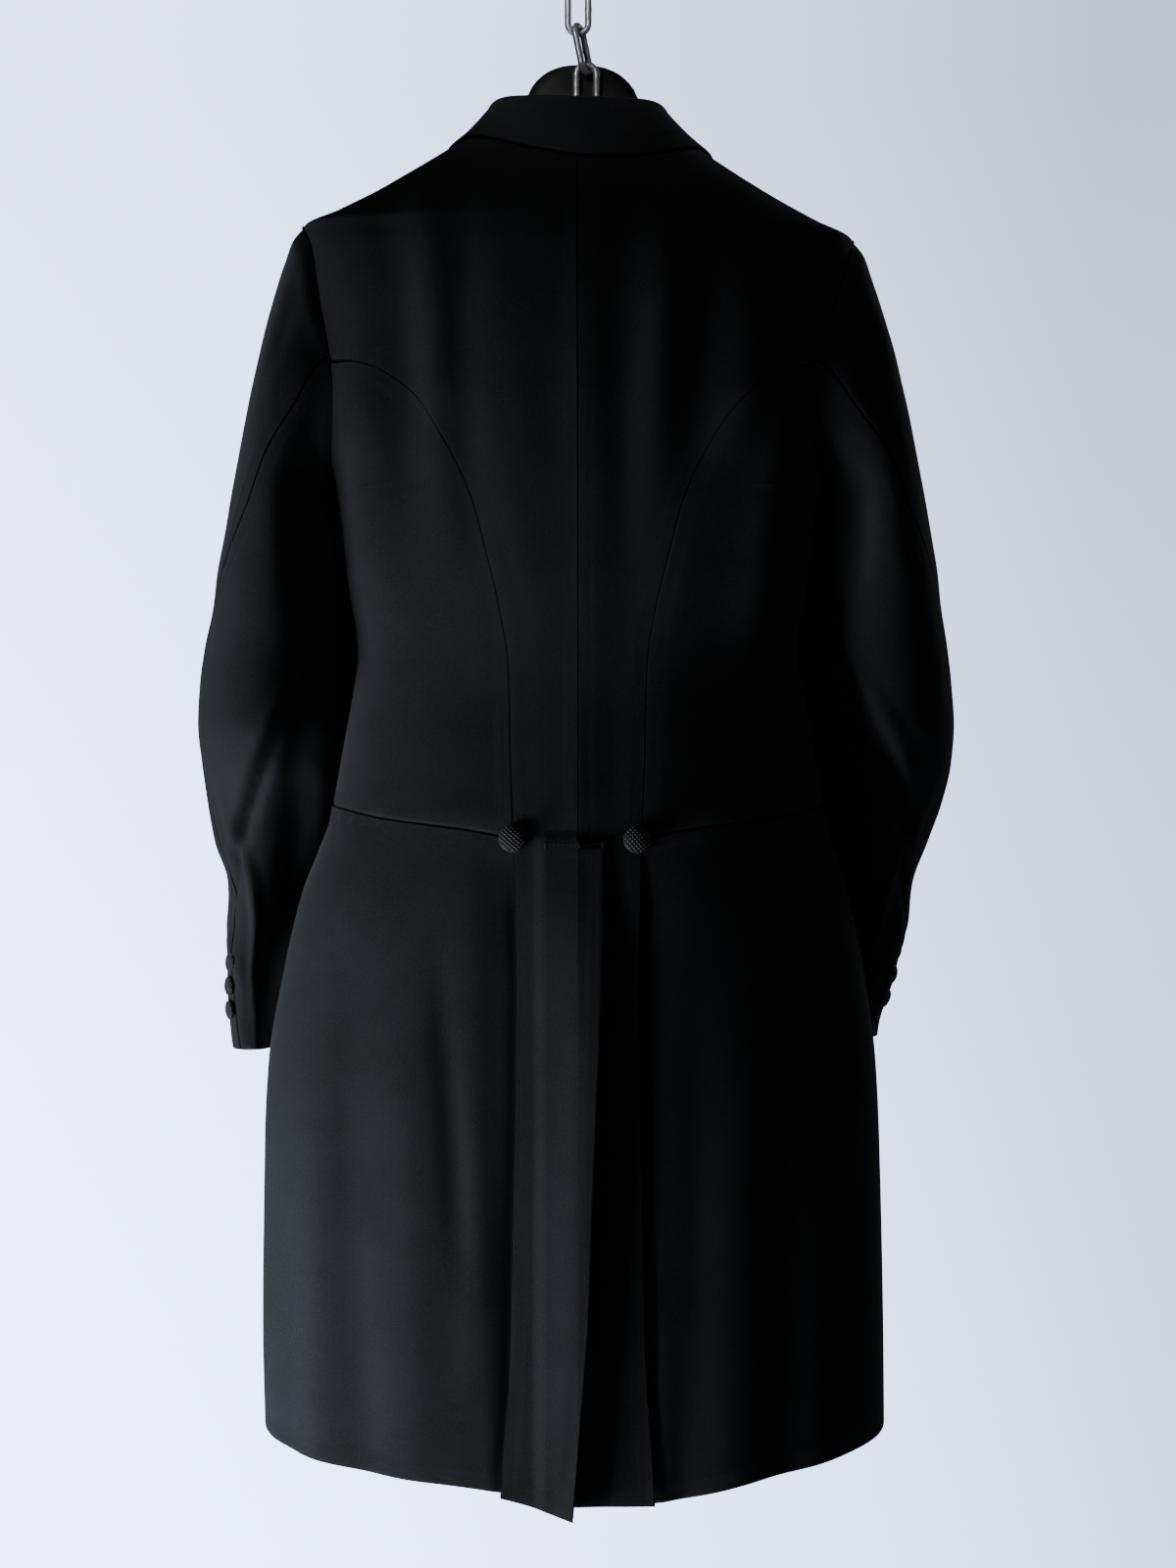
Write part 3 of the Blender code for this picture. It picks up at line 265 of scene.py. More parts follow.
# Hanger. One piece of black moulded plastic: a domed neck that stands above the collar
# and two wide arms that fill out the shoulders.

COAT_FORWARD = 20.0            # the coat and the hanger lie this far in front of the chain
SHOULDER_LEAN = 0.025          # drop of the right shoulder for each unit across
LEAN_TOP = -210.0              # the lean is whole above this height
LEAN_END = -400.0              # and gone below this one
# distance from the middle, top, bottom and half depth
HANGER = (
    (0, -80.6, -170, 17),
    (12, -81.6, -170, 17),
    (24, -85.4, -170, 17),
    (33, -92, -170, 17),
    (40, -101.5, -170, 16.6),
    (43.5, -112, -170, 16.6),
    (47, -126, -170.5, 16.6),
    (54, -136, -171, 16.8),
    (66, -142.5, -172.5, 17.4),
    (80, -146.4, -176, 18.2),
    (96, -150.6, -183, 19.4),
    (110, -158.9, -190, 21),
    (135, -174.8, -202, 24),
    (160, -189.6, -212, 23.5),
    (175, -198.4, -217, 21),
    (180, -202.4, -215, 17),
    (183, -205.6, -211.5, 10),
)
HANGER_SHIFT = 3.5             # the neck of the hanger sits this far right of the middle
HANGER_ROUND = 2.3
PARTING_RIDGE = 0.25 / 17.0    # line left by the two halves of the mould, a share of the depth
HANGER_SPANS = 150
HANGER_SIDES = 56


def curve(rows, at, column, key=0):
    """Smooth values of one column of a table at places along its key column."""
    ordered = np.array(sorted(rows, key=lambda row: row[key]), dtype=float)
    keys, values = ordered[:, key], ordered[:, column]
    steps = np.diff(values) / np.diff(keys)
    before, after = steps[:-1], steps[1:]
    same_way = before * after > 0.0
    inner = np.where(same_way, 2.0 * before * after / np.where(same_way, before + after, 1.0), 0.0)
    slopes = np.concatenate([steps[:1], inner, steps[-1:]])
    at = np.clip(at, keys[0], keys[-1])
    i = np.clip(np.searchsorted(keys, at, side="right") - 1, 0, len(keys) - 2)
    span = keys[i + 1] - keys[i]
    t = (at - keys[i]) / span
    return ((1 + 2 * t) * (1 - t) ** 2 * values[i] + t * (1 - t) ** 2 * span * slopes[i]
            + t * t * (3 - 2 * t) * values[i + 1] + t * t * (t - 1) * span * slopes[i + 1])


def ease(start, end, at):
    """Smooth step from 0 at the start to 1 at the end."""
    t = np.clip((np.asarray(at, dtype=float) - start) / (end - start), 0.0, 1.0)
    return t * t * (3.0 - 2.0 * t)


def settle(points):
    """Move points to where the coat hangs: forward of the chain and leaning."""
    moved = np.array(points, dtype=float)
    moved[..., 2] -= SHOULDER_LEAN * moved[..., 0] * (1.0 - ease(LEAN_TOP, LEAN_END, moved[..., 2]))
    moved[..., 1] += COAT_FORWARD
    return moved


def lay_grid(bm, points):
    """Lay a grid of cloth or skin over rows of points and return its corners."""
    rows, columns = points.shape[0] - 1, points.shape[1] - 1
    laid = bmesh.ops.create_grid(bm, x_segments=columns, y_segments=rows, size=0.5)["verts"]
    places = settle(points) * MM
    spots = {}
    for vert in laid:
        r = round((0.5 - vert.co.y) * rows)
        c = round((vert.co.x + 0.5) * columns)
        vert.co = places[r, c]
        spots[vert] = (r, c)
    return spots


def plastic_finish():
    """Black moulded plastic: satin, with a fine grain, soft scuffs and a little dust."""
    surface, tree, shader = new_material("moulded plastic", (0.012, 0.012, 0.013), 0.42)
    patches = place_uneven(tree, 24.0, 1400.0)
    tree.links.new(shade_mix(tree, stretch(tree, patches.outputs[0], 0.45, 0.75, 0.0, 1.0),
                             (0.011, 0.011, 0.012), (0.030, 0.030, 0.033)),
                   shader.inputs["Base Color"])
    tree.links.new(stretch(tree, patches.outputs[0], 0.35, 0.7, 0.34, 0.58), shader.inputs["Roughness"])
    add_bump(tree, shader, patches.outputs[1], 0.00008, 0.6)
    return surface


def make_hanger():
    reach = HANGER[-1][0]
    across = reach * np.sin(np.linspace(-0.5 * math.pi, 0.5 * math.pi, HANGER_SPANS + 1))
    size = np.abs(across)
    turn = np.linspace(0.0, 2.0 * math.pi, HANGER_SIDES + 1)
    c, s = np.cos(turn), np.sin(turn)
    away = (np.abs(c) ** HANGER_ROUND + np.abs(s) ** HANGER_ROUND) ** (-1.0 / HANGER_ROUND)
    top, bottom, depth = (curve(HANGER, size, n)[:, None] for n in (1, 2, 3))
    shift = HANGER_SHIFT * (1.0 - ease(40.0, 90.0, size))
    x = np.broadcast_to((across + shift)[:, None], (len(across), len(turn)))
    ridge = 1.0 + PARTING_RIDGE * (np.abs(s) > 0.999)
    y = depth * s * away * ridge
    z = 0.5 * (top + bottom) + 0.5 * (top - bottom) * c * away
    bm = bmesh.new()
    lay_grid(bm, np.stack([x, y, z], axis=-1))
    bmesh.ops.remove_doubles(bm, verts=bm.verts, dist=0.01 * MM)
    bmesh.ops.holes_fill(bm, edges=[edge for edge in bm.edges if edge.is_boundary])
    bmesh.ops.recalc_face_normals(bm, faces=bm.faces)
    return finish_piece("hanger_moulding", bm, [plastic_finish()], "hanger")


make_hanger()

# Backs. Two panels of fine black wool joined down the middle, cut in one from the neck to
# the hem. Below the waist the left one laps over the right as a vent.

SIDES = {-1: "left", 1: "right"}
WALL = 1.6
SEAM_ROLL = 1.1                # how far from a seam the cloth starts to turn in
SEAM_DEPTH = 0.55
SEAM_OPEN = -0.3               # the turned edges press this far into each other

# Body by height: half widths left and right, depth behind and in front, squareness
BODY = (
    (-124, 66, 66, 44, 30, 2),
    (-138.6, 82, 82, 56, 38, 2),
    (-146, 95, 95, 61, 44, 2),
    (-152.6, 105, 105, 65, 49, 2.1),
    (-174.6, 140, 140, 75, 62, 2.2),
    (-197, 181, 181, 83, 73, 2.3),
    (-208, 204, 204, 86, 77, 2.3),
    (-230, 208, 208, 91, 84, 2.4),
    (-270, 207, 207, 96, 91, 2.5),
    (-330, 203, 203, 98, 93, 2.5),
    (-365, 196, 196, 96, 91, 2.5),
    (-400, 183, 183, 93, 87, 2.5),
    (-457, 173, 173, 86, 80, 2.4),
    (-520, 163, 163, 78, 71, 2.3),
    (-545, 167, 167, 77, 68, 2.3),
    (-602, 177, 177, 82, 66, 2.3),
    (-640, 184, 184, 87, 66, 2.3),
    (-700, 206, 201, 91, 64, 2.3),
    (-760, 220, 213, 92, 60, 2.2),
    (-820, 230, 221, 92, 58, 2.2),
    (-880, 233, 224, 92, 56, 2.2),
    (-1010, 234.5, 227, 91, 56, 2.2),
    (-1150, 231, 228, 89, 56, 2.2),
)
# Shoulder seam: height, angle from the middle of the back in degrees
SHOULDER_SEAM = (
    (-140.6, 72),
    (-149, 72),
    (-159, 72.6),
    (-171, 73.6),
    (-184, 75.4),
    (-197, 79.5),
    (-208, 90),
)
# Back edge of the armholes: height, distance from the middle left and right
ARMHOLE_BACK = (
    (-208, 204, 204),
    (-229, 195, 197),
    (-265, 189, 186),
    (-299, 182, 175),
    (-328, 178, 169),
    (-345, 178, 167.5),
    (-365, 179, 170),
    (-384, 181, 176),
    (-400, 183, 183),
)
# Front edge of the armholes: height, distance from the middle
ARMHOLE_FRONT = (
    (-208, 204),
    (-229, 192),
    (-265, 179),
    (-299, 169),
    (-345, 163),
    (-365, 167),
    (-384, 175),
    (-400, 183),
)
ARMHOLE_TOP = -208.0
ARMHOLE_BOTTOM = -400.0
ARMHOLE_FOOT_TURN = 94.1       # where the back panel leaves the armhole
# Curved seam from the armhole to the back button and down the skirt: height, distance
BACK_SEAM = (
    (-311.4, 174),
    (-311.9, 166),
    (-314, 155),
    (-319, 143),
    (-328, 130),
    (-337, 119),
    (-349, 109),
    (-363, 100),
    (-379, 91),
    (-395, 83),
    (-415, 75),
    (-450, 65.5),
    (-485, 57),
    (-530, 50),
    (-602, 48),
    (-654, 46),
    (-757, 44),
    (-862, 45),
    (-932, 46.5),
    (-1038, 49),
    (-1094, 53),
    (-1150, 56),
)
# Neck seam: angle, height
NECK_SEAM = (
    (0, -150),
    (30, -149),
    (50, -146),
    (72, -140.6),
    (85, -139),
    (100, -147),
    (120, -170),
    (142, -200),
)
# Edge of the vent flap: height, distance to the right of the middle
FLAP_EDGE = (
    (-657, 19.4),
    (-756, 17.8),
    (-826, 15),
    (-932, 10.8),
    (-1002, 8),
    (-1072, 2.4),
    (-1144, -4.6),
)
FLAP_LIFT = 2.2
FLAP_STAND = 8.5               # how far the edge of the flap stands off lower down
UNDER_SINK = -0.6
UNDERLAP = 18.0                # how far the right back runs on under the flap
VENT_TOP = -651.0
LAP_REACH = (22.0, 34.0)       # the lap is whole within the first distance of the middle
STAND_REACH = (-34.0, 10.0)    # the flap starts to stand off here, and stands off fully here
STAND_FULL = -800.0
WAIST = -657.0
STRIP_HEM = -1134.0
STRIP_RISE = 6.0               # how far the left hem rises at the pleat
FLAP_DROP = 15.0               # and falls again to the corner of the flap
HEM_BEND = -1040.0             # rows above this one run level
NECK_BEND = (-140.6, -250.0)   # rows follow the neck seam less and less between these
SEAM_CORNER = -310.9           # where the curved seam meets the armhole

# Folds: side, height of each end, distance at each end, half width, height of the ridge
BODY_FOLDS = (
    (-1, -280, -640, 160, 138, 20, 3.6),
    (-1, -170, -560, 138, 116, 20, -8),
    (-1, -160, -460, 112, 104, 12, 2.6),
    (-1, -170, -540, 84, 72, 14, -4.2),
    (-1, -230, -650, 40, 34, 22, 2),
    (1, -170, -600, 38, 32, 16, -3.4),
    (1, -160, -470, 66, 52, 15, 3),
    (1, -165, -500, 100, 76, 16, -4.2),
    (1, -190, -460, 128, 112, 15, 3),
    (1, -290, -640, 156, 120, 18, 8),
    (-1, -690, -1240, 196, 186, 18, 3),
    (-1, -740, -1240, 166, 150, 15, -2.2),
    (-1, -720, -1240, 132, 112, 22, 2.6),
    (-1, -700, -1000, 98, 84, 10, -2.6),
    (-1, -820, -1240, 66, 60, 13, 2),
    (-1, -900, -1240, 214, 210, 12, -2),
    (1, -700, -1200, 84, 76, 16, -2.4),
    (1, -720, -1240, 116, 108, 22, 1.8),
    (1, -760, -1240, 152, 142, 15, -2.2),
    (1, -740, -1240, 186, 176, 18, 2.4),
    (1, -980, -1240, 64, 62, 10, 1.6),
)
CENTRE_RISE = 2.4              # the middle seam of the back stands up as a soft ridge
CENTRE_WIDTH = 24.0
CENTRE_FADE = (-160.0, -260.0)
FRONT_FADE = (-15.0, 25.0)     # folds die away from here to here, towards the front
COAT_FOLDS = -700.0            # folds that end above this swell and fade at both ends
HEM_FOLDS = -1200.0            # and those that end below this run off the hem
RIPPLE = 0.45
RIPPLE_WIDTH = 34.0
RIPPLE_LENGTH = 120.0


def body_place(angle, height):
    """Points of the plain body; angles are negative on the left."""
    angle, height = np.broadcast_arrays(np.asarray(angle, float), np.asarray(height, float))
    width = np.where(angle < 0.0, curve(BODY, height, 1), curve(BODY, height, 2))
    power = curve(BODY, height, 5)
    across, along = np.sin(np.radians(angle)), -np.cos(np.radians(angle))
    depth = np.where(along < 0.0, curve(BODY, height, 3), curve(BODY, height, 4))
    reach = (np.abs(across / width) ** power + np.abs(along / depth) ** power) ** (-1.0 / power)
    return np.stack([reach * across, reach * along, height], axis=-1)


def unit(vectors):
    """Vectors of length one."""
    return vectors / np.maximum(np.linalg.norm(vectors, axis=-1, keepdims=True), 1e-9)


def body_out(angle, height):
    """Way out of the plain body."""
    round_way = body_place(angle + 0.6, height) - body_place(angle - 0.6, height)
    up_way = body_place(angle, height + 0.6) - body_place(angle, height - 0.6)
    return unit(np.cross(round_way, up_way))


def body_turn(distance, height, side, front=False):
    """Angle at which the body lies this far from the middle."""
    width = curve(BODY, height, 1 if side < 0 else 2)
    depth, power = curve(BODY, height, 4 if front else 3), curve(BODY, height, 5)
    share = np.clip(np.abs(distance) / width, 0.0, 1.0)
    along = depth * (1.0 - share ** power) ** (1.0 / power)
    turn = np.degrees(np.arctan2(share * width, along))
    return side * (180.0 - turn if front else turn) * np.sign(distance)


def folds(points):
    """How far the folds and the soft ripples lift the cloth of the body."""
    x, y, height = points[..., 0], points[..., 1], points[..., 2]
    total = np.zeros(x.shape)
    for side, top, bottom, start, end, half, lift in BODY_FOLDS:
        along = (top - height) / (top - bottom)
        inside = (x * side > 0.0) & (y < FRONT_FADE[1]) & (along > 0.0) & (along < 1.0)
        along = np.clip(along, 0.0, 1.0)
        away = (np.abs(x) - start - (end - start) * along) / half
        wander = 0.35 * np.sin(5.0 * along + start) * (1.0 - along)
        rise = np.sin(math.pi * along ** 0.75) ** 2 if bottom > COAT_FOLDS else ease(0.0, 0.35, along)
        rise = rise * (1.0 - ease(0.6, 1.0, along)) if bottom > HEM_FOLDS else rise
        rise = rise * (1.0 - ease(*FRONT_FADE, y))
        total += np.where(inside, lift * np.exp(-(away + wander) ** 2) * rise, 0.0)
    middle = np.exp(-np.abs(x) / CENTRE_WIDTH) * (y < 0.0)
    total += CENTRE_RISE * middle * ease(*CENTRE_FADE, height)
    ripples = [noise.noise(Vector((a / RIPPLE_WIDTH, b / RIPPLE_WIDTH, c / RIPPLE_LENGTH)))
               for a, b, c in points.reshape(-1, 3)]
    return total + RIPPLE * np.array(ripples).reshape(x.shape)


def coat_place(angle, height, lift=0.0):
    """Points of the outside of the coat before it is settled."""
    plain = body_place(angle, height)
    return plain + body_out(angle, height) * (folds(plain) + lift)[..., None]


def armhole_line(side, turn):
    """Angle and height round an armhole; turn 0 is the shoulder and 90 the back."""
    turn = np.mod(turn, 360.0)
    share = 0.5 * (1.0 - np.cos(np.radians(turn)))
    height = ARMHOLE_TOP + (ARMHOLE_BOTTOM - ARMHOLE_TOP) * share
    behind = body_turn(curve(ARMHOLE_BACK, height, 1 if side < 0 else 2), height, side)
    before = body_turn(curve(ARMHOLE_FRONT, height, 1), height, side, front=True)
    return np.where(turn <= 180.0, behind, before), height


def evenly(angle, height, count):
    """Space the points of a line on the body evenly."""
    points = body_place(angle, height)
    run = np.concatenate([[0.0], np.cumsum(np.linalg.norm(np.diff(points, axis=0), axis=1))])
    at = np.linspace(0.0, run[-1], count + 1)
    return np.interp(at, run, angle), np.interp(at, run, height)


def finer_ends(count, share=0.3):
    """Shares from 0 to 1 that lie closer together at both ends."""
    t = np.linspace(0.0, 1.0, count + 1)
    return t - (1.0 - share) * np.sin(2.0 * math.pi * t) / (2.0 * math.pi)


def shift_turn(angle, height, distance):
    """Angle moved round the body by a small distance."""
    reach = np.linalg.norm(body_place(angle, height)[..., :2], axis=-1)
    return angle + np.degrees(distance / reach)


def weave_group():
    """Group that gives the relief of a twill: fine slanting ribs of crossed yarn."""
    group, start, end = new_group("twill weave", ("Vector", "Ribs"), ("Height",))
    rib = add_node(group, "ShaderNodeTexWave", wave_type="BANDS", bands_direction="DIAGONAL",
                   Distortion=5.0, Detail=2.0)
    yarn = add_node(group, "ShaderNodeTexWave", wave_type="BANDS", bands_direction="X",
                    Distortion=4.0, Detail=2.0)
    for wave in (rib, yarn):
        group.links.new(start.outputs["Vector"], wave.inputs["Vector"])
        group.links.new(start.outputs["Ribs"], wave.inputs["Scale"])
    blend = add_node(group, "ShaderNodeMath", operation="MULTIPLY_ADD")
    blend.inputs[1].default_value = 0.35
    group.links.new(yarn.outputs["Fac"], blend.inputs[0])
    group.links.new(rib.outputs["Fac"], blend.inputs[2])
    group.links.new(blend.outputs[0], end.inputs["Height"])
    return group


WEAVE = weave_group()


def cloth_finish(name, dark, light, roughness, ribs, relief, sheen, nap, gloss=0.5):
    """Cloth with a weave in its own threads' way, uneven tone and pressed, paler edges, and painted
    shade that darkens it and takes its sheen and gloss away right at every edge.
    """
    surface, tree, shader = new_material(name, dark, roughness)
    shader.inputs["Sheen Roughness"].default_value = nap
    shader.inputs["Sheen Tint"].default_value = (0.80, 0.82, 0.88, 1.0)
    threads = add_node(tree, "ShaderNodeAttribute", attribute_name="threads")
    weave = add_node(tree, "ShaderNodeGroup")
    weave.node_tree = WEAVE
    weave.inputs["Ribs"].default_value = ribs
    tree.links.new(threads.outputs["Vector"], weave.inputs["Vector"])
    uneven = place_uneven(tree, 14.0, 900.0)
    parts = add_node(tree, "ShaderNodeSeparateXYZ")
    tree.links.new(threads.outputs["Vector"], parts.inputs[0])
    patch = stretch(tree, uneven.outputs[0], 0.35, 0.65, 0.0, 0.55)
    fluff = stretch(tree, uneven.outputs[1], 0.42, 0.66, 0.0, 0.9)
    worn = add_node(tree, "ShaderNodeMath", operation="ADD", use_clamp=True)
    tree.links.new(patch, worn.inputs[0])
    tree.links.new(fluff, worn.inputs[1])
    edge = add_node(tree, "ShaderNodeMath", operation="MULTIPLY_ADD", use_clamp=True)
    edge.inputs[1].default_value = 0.12
    tree.links.new(parts.outputs["Z"], edge.inputs[0])
    tree.links.new(worn.outputs[0], edge.inputs[2])
    body = shade_mix(tree, edge.outputs[0], dark, light)
    # Painted shade: right at every edge, seams and free edges alike, the colour goes almost black, as
    # if shade lay in the crease of a seam; the mask named sewn is this painted shade.
    painted_crease_shade = add_node(tree, "ShaderNodeMix", data_type="RGBA")
    painted_crease_shade.inputs[7].default_value = (0.002, 0.002, 0.002, 1.0)
    sewn = stretch(tree, parts.outputs["Z"], 0.70, 0.92, 0.0, 0.95)
    tree.links.new(sewn, painted_crease_shade.inputs[0])
    # The painted shade also takes the sheen and the gloss away at the edges.
    tree.links.new(stretch(tree, sewn, 0.0, 1.0, sheen, 0.0), shader.inputs["Sheen Weight"])
    tree.links.new(stretch(tree, sewn, 0.0, 1.0, gloss, 0.0), shader.inputs["Specular IOR Level"])
    tree.links.new(body, painted_crease_shade.inputs[6])
    tree.links.new(painted_crease_shade.outputs[2], shader.inputs["Base Color"])
    tree.links.new(stretch(tree, parts.outputs["Z"], 0.0, 1.0, roughness, roughness * 0.8),
                   shader.inputs["Roughness"])
    add_bump(tree, shader, weave.outputs["Height"], relief)
    return surface


WOOL = cloth_finish("black wool", (0.0095, 0.0097, 0.0110), (0.0235, 0.0240, 0.0275),
                    0.82, 480.0, 0.00006, 0.16, 0.5, 0.3)
LINING = cloth_finish("black lining", (0.007, 0.007, 0.008), (0.013, 0.013, 0.015),
                      0.38, 700.0, 0.00006, 0.05, 0.3)


def run_along(points, axis):
    """Distance run along the rows or columns of a grid of points."""
    first = points[:, :1] if axis else points[:1]
    return np.cumsum(np.linalg.norm(np.diff(points, axis=axis, prepend=first), axis=-1), axis=axis)


def cloth_piece(name, grids, node, surface=WOOL, wall=WALL,
                roll=SEAM_ROLL, depth=SEAM_DEPTH):
    """Sheet of cloth over one or more grids of points, its edges turned in at the seams."""
    bm = bmesh.new()
    threads = bm.verts.layers.float_vector.new("threads")
    for points in grids:
        spots = lay_grid(bm, points)
        across, down = run_along(points, 1), run_along(points, 0)
        for vert, (r, c) in spots.items():
            vert[threads] = (across[r, c] * MM, down[r, c] * MM, 0.0)
    bmesh.ops.remove_doubles(bm, verts=bm.verts, dist=0.05 * MM)
    bm.normal_update()
    border = []
    for edge in bm.edges:
        if edge.is_boundary:
            start, end = (vert.co for vert in edge.verts)
            steps = max(int((end - start).length / (0.6 * MM)), 1)
            border += [start.lerp(end, n / steps) for n in range(steps)]
    near = kdtree.KDTree(len(border))
    for n, place in enumerate(border):
        near.insert(place, n)
    near.balance()
    sunk = []
    for vert in bm.verts:
        gap = near.find(vert.co)[2] / MM
        inward = max(1.0 - gap / roll, 0.0)
        sunk.append(vert.normal * depth * (1.0 - math.sqrt(1.0 - min(inward, 1.0) ** 2)) * MM)
        # The third part holds nearness to the nearest edge, which makes the cloth paler near its edges
        # and carries the painted shade right at them.
        vert[threads] = (*vert[threads][:2], math.exp(-gap / 3.0))
    for vert, sink in zip(bm.verts, sunk):
        vert.co -= sink
    piece = finish_piece(name, bm, [surface, LINING], node)
    thick = piece.modifiers.new("wall", "SOLIDIFY")
    thick.thickness = wall * MM
    thick.offset = -1.0
    thick.material_offset = 1
    return piece


def facing(side, points):
    """Rows that run the same way round the coat on both sides, so the cloth faces out."""
    return points if side > 0 else points[:, ::-1]


BACK_COLUMNS = 46
STRIP_ROWS = 110
FLAP_COLUMNS = 14


def back_edge(side):
    """Outer edge of the back above the waist: shoulder, armhole and curved seam."""
    height = np.linspace(SHOULDER_SEAM[0][0], SHOULDER_SEAM[-1][0], 80)
    legs = [(side * curve(SHOULDER_SEAM, height, 1), height, 30)]
    legs.append((*armhole_line(side, np.linspace(0.5, ARMHOLE_FOOT_TURN, 60)), 26))
    bend, fall = np.linspace(-312.0, -340.0, 60), np.linspace(-341.0, WAIST, 120)
    height = np.concatenate([[SEAM_CORNER], bend, fall])
    distance = curve(BACK_SEAM, height, 1)
    distance[0] = curve(ARMHOLE_BACK, height[0], 1 if side < 0 else 2)
    legs.append((body_turn(distance, height, side), height, 130))
    ends = [evenly(*leg) for leg in legs]
    angle = np.concatenate([ends[0][0], ends[1][0][1:], ends[2][0][1:]])
    return angle, np.concatenate([ends[0][1], ends[1][1][1:], ends[2][1][1:]])


def vent_lift(side, angle, height):
    """The left back rides over the right one from the waist down, and stands off it."""
    below = ease(VENT_TOP, WAIST, height)
    across = body_place(angle, height)[..., 0]
    near = 1.0 - ease(*LAP_REACH, np.abs(across))
    if side > 0:
        return UNDER_SINK * below * near
    open_edge = ease(*STAND_REACH, across) * ease(WAIST - 4.0, STAND_FULL, height)
    return FLAP_LIFT * below * near + FLAP_STAND * open_edge


def make_back(side):
    end, level = back_edge(side)
    end = shift_turn(end, level, -side * SEAM_OPEN)
    share = finer_ends(BACK_COLUMNS)
    start = shift_turn(np.zeros(len(level)), level, side * SEAM_OPEN)
    angle = start[:, None] + (end - start)[:, None] * share
    middle = np.linspace(level[0], level[-1], len(level))
    line = middle[:, None] + (level - middle)[:, None] * share ** 2
    bend = curve(NECK_SEAM, np.abs(angle), 1) - curve(NECK_SEAM, np.abs(end), 1)[:, None]
    height = line + bend * (1.0 - ease(*NECK_BEND, level))[:, None]
    upper = coat_place(angle, height, vent_lift(side, angle, height))

    level = WAIST + (STRIP_HEM - WAIST) * np.sin(0.5 * math.pi * np.linspace(0.0, 1.0, STRIP_ROWS + 1))
    far = shift_turn(body_turn(curve(BACK_SEAM, level, 1), level, side), level, -side * SEAM_OPEN)
    if side < 0:
        edge = curve(FLAP_EDGE, level, 1)
        near = body_turn(edge, level, 1)
    else:
        near = shift_turn(np.zeros(len(level)), level, -UNDERLAP)
    middle = (start[-1] - near[0]) / (far[0] - near[0])
    lap = np.linspace(0.0, 1.0, FLAP_COLUMNS + 1)[:-1] * middle
    share = np.concatenate([lap, middle + (1.0 - middle) * share])
    angle = near[:, None] + (far - near)[:, None] * share
    if side < 0:
        drop = ease(HEM_BEND, STRIP_HEM, level)[:, None] * (STRIP_RISE - FLAP_DROP * (1.0 - share))
    else:
        drop = 0.0 * share
    height = level[:, None] + drop
    lower = coat_place(angle, height, vent_lift(side, angle, height))
    word = SIDES[side]
    return cloth_piece("back_panel_" + word, [facing(side, upper), facing(side, lower)],
                       "back_" + word)


for side in SIDES:
    make_back(side)

# Side bodies. Narrow wool panels between the curved back seams and the seams under the
# arms, from the armhole to the waist.

UNDERARM_ANGLE = 95.0
# Waist seam: angle, height
WAIST_SEAM = (
    (0, -657),
    (27, -655),
    (45, -649),
    (65, -642),
    (80, -634),
    (95, -631),
    (160, -659),
)
SIDE_COLUMNS = 36
SIDE_LEVEL = -520.0            # below this the rows follow the waist seam
SIDE_SEAM_FOOT = -631.0


def make_side(side):
    table = 1 if side < 0 else 2
    height = np.concatenate([np.linspace(-312.2, -322.0, 40), np.linspace(-322.5, -330.0, 12)])
    legs = [(body_turn(curve(ARMHOLE_BACK, height, table), height, side), height, 24)]
    legs.append((*armhole_line(side, np.linspace(106.0, 179.9, 60)), 24))
    height = np.linspace(-400.4, SIDE_SEAM_FOOT, 80)
    legs.append((side * UNDERARM_ANGLE * np.ones(80), height, 62))
    ends = [evenly(*leg) for leg in legs]
    end = np.concatenate([ends[0][0], ends[1][0][1:], ends[2][0][1:]])
    level = np.concatenate([ends[0][1], ends[1][1][1:], ends[2][1][1:]])
    low = ease(SIDE_LEVEL, SIDE_SEAM_FOOT, level)
    seam_level = level + (curve(WAIST_SEAM, 30.0, 1) - SIDE_SEAM_FOOT) * low
    start = body_turn(curve(BACK_SEAM, seam_level, 1), seam_level, side)
    start = shift_turn(start, seam_level, side * SEAM_OPEN)
    end = shift_turn(end, level, -side * SEAM_OPEN)
    angle = start[:, None] + (end - start)[:, None] * finer_ends(SIDE_COLUMNS)
    height = level[:, None] + (curve(WAIST_SEAM, np.abs(angle), 1) - SIDE_SEAM_FOOT) * low[:, None]
    points = coat_place(angle, height)
    word = SIDES[side]
    return cloth_piece("side_body_" + word, [facing(side, points)], "side_" + word)


for side in SIDES:
    make_side(side)

# Foreparts. Wool fronts from the shoulder and underarm seams to the cut-away front edge;
# they end at the waist.

# Front edge: height, angle
FRONT_EDGE = (
    (-200, 142),
    (-260, 147),
    (-400, 155),
    (-520, 157),
    (-600, 152),
    (-656, 143),
)
# Height on the front edge for each row of the shoulder, the armhole and the side seam
FORE_FRONT_ROWS = (-200.0, -207.0, -216.0, -226.0, -237.0, -248.0, -258.0, -268.0,
                   -284.0, -306.0, -332.0, -360.0, -386.0, -406.0, -420.0, -427.0,
                   -437.0, -457.0, -484.0, -514.0, -546.0, -582.0, -620.0, -653.0)
SHOULDER_ROWS = 6
ARMHOLE_ROWS = 10
FORE_COLUMNS = 48
FORE_NECK = (-200.0, -330.0)   # rows follow the neck less and less between these
FORE_WAIST = (-582.0, -653.0)  # and the waist seam more and more between these


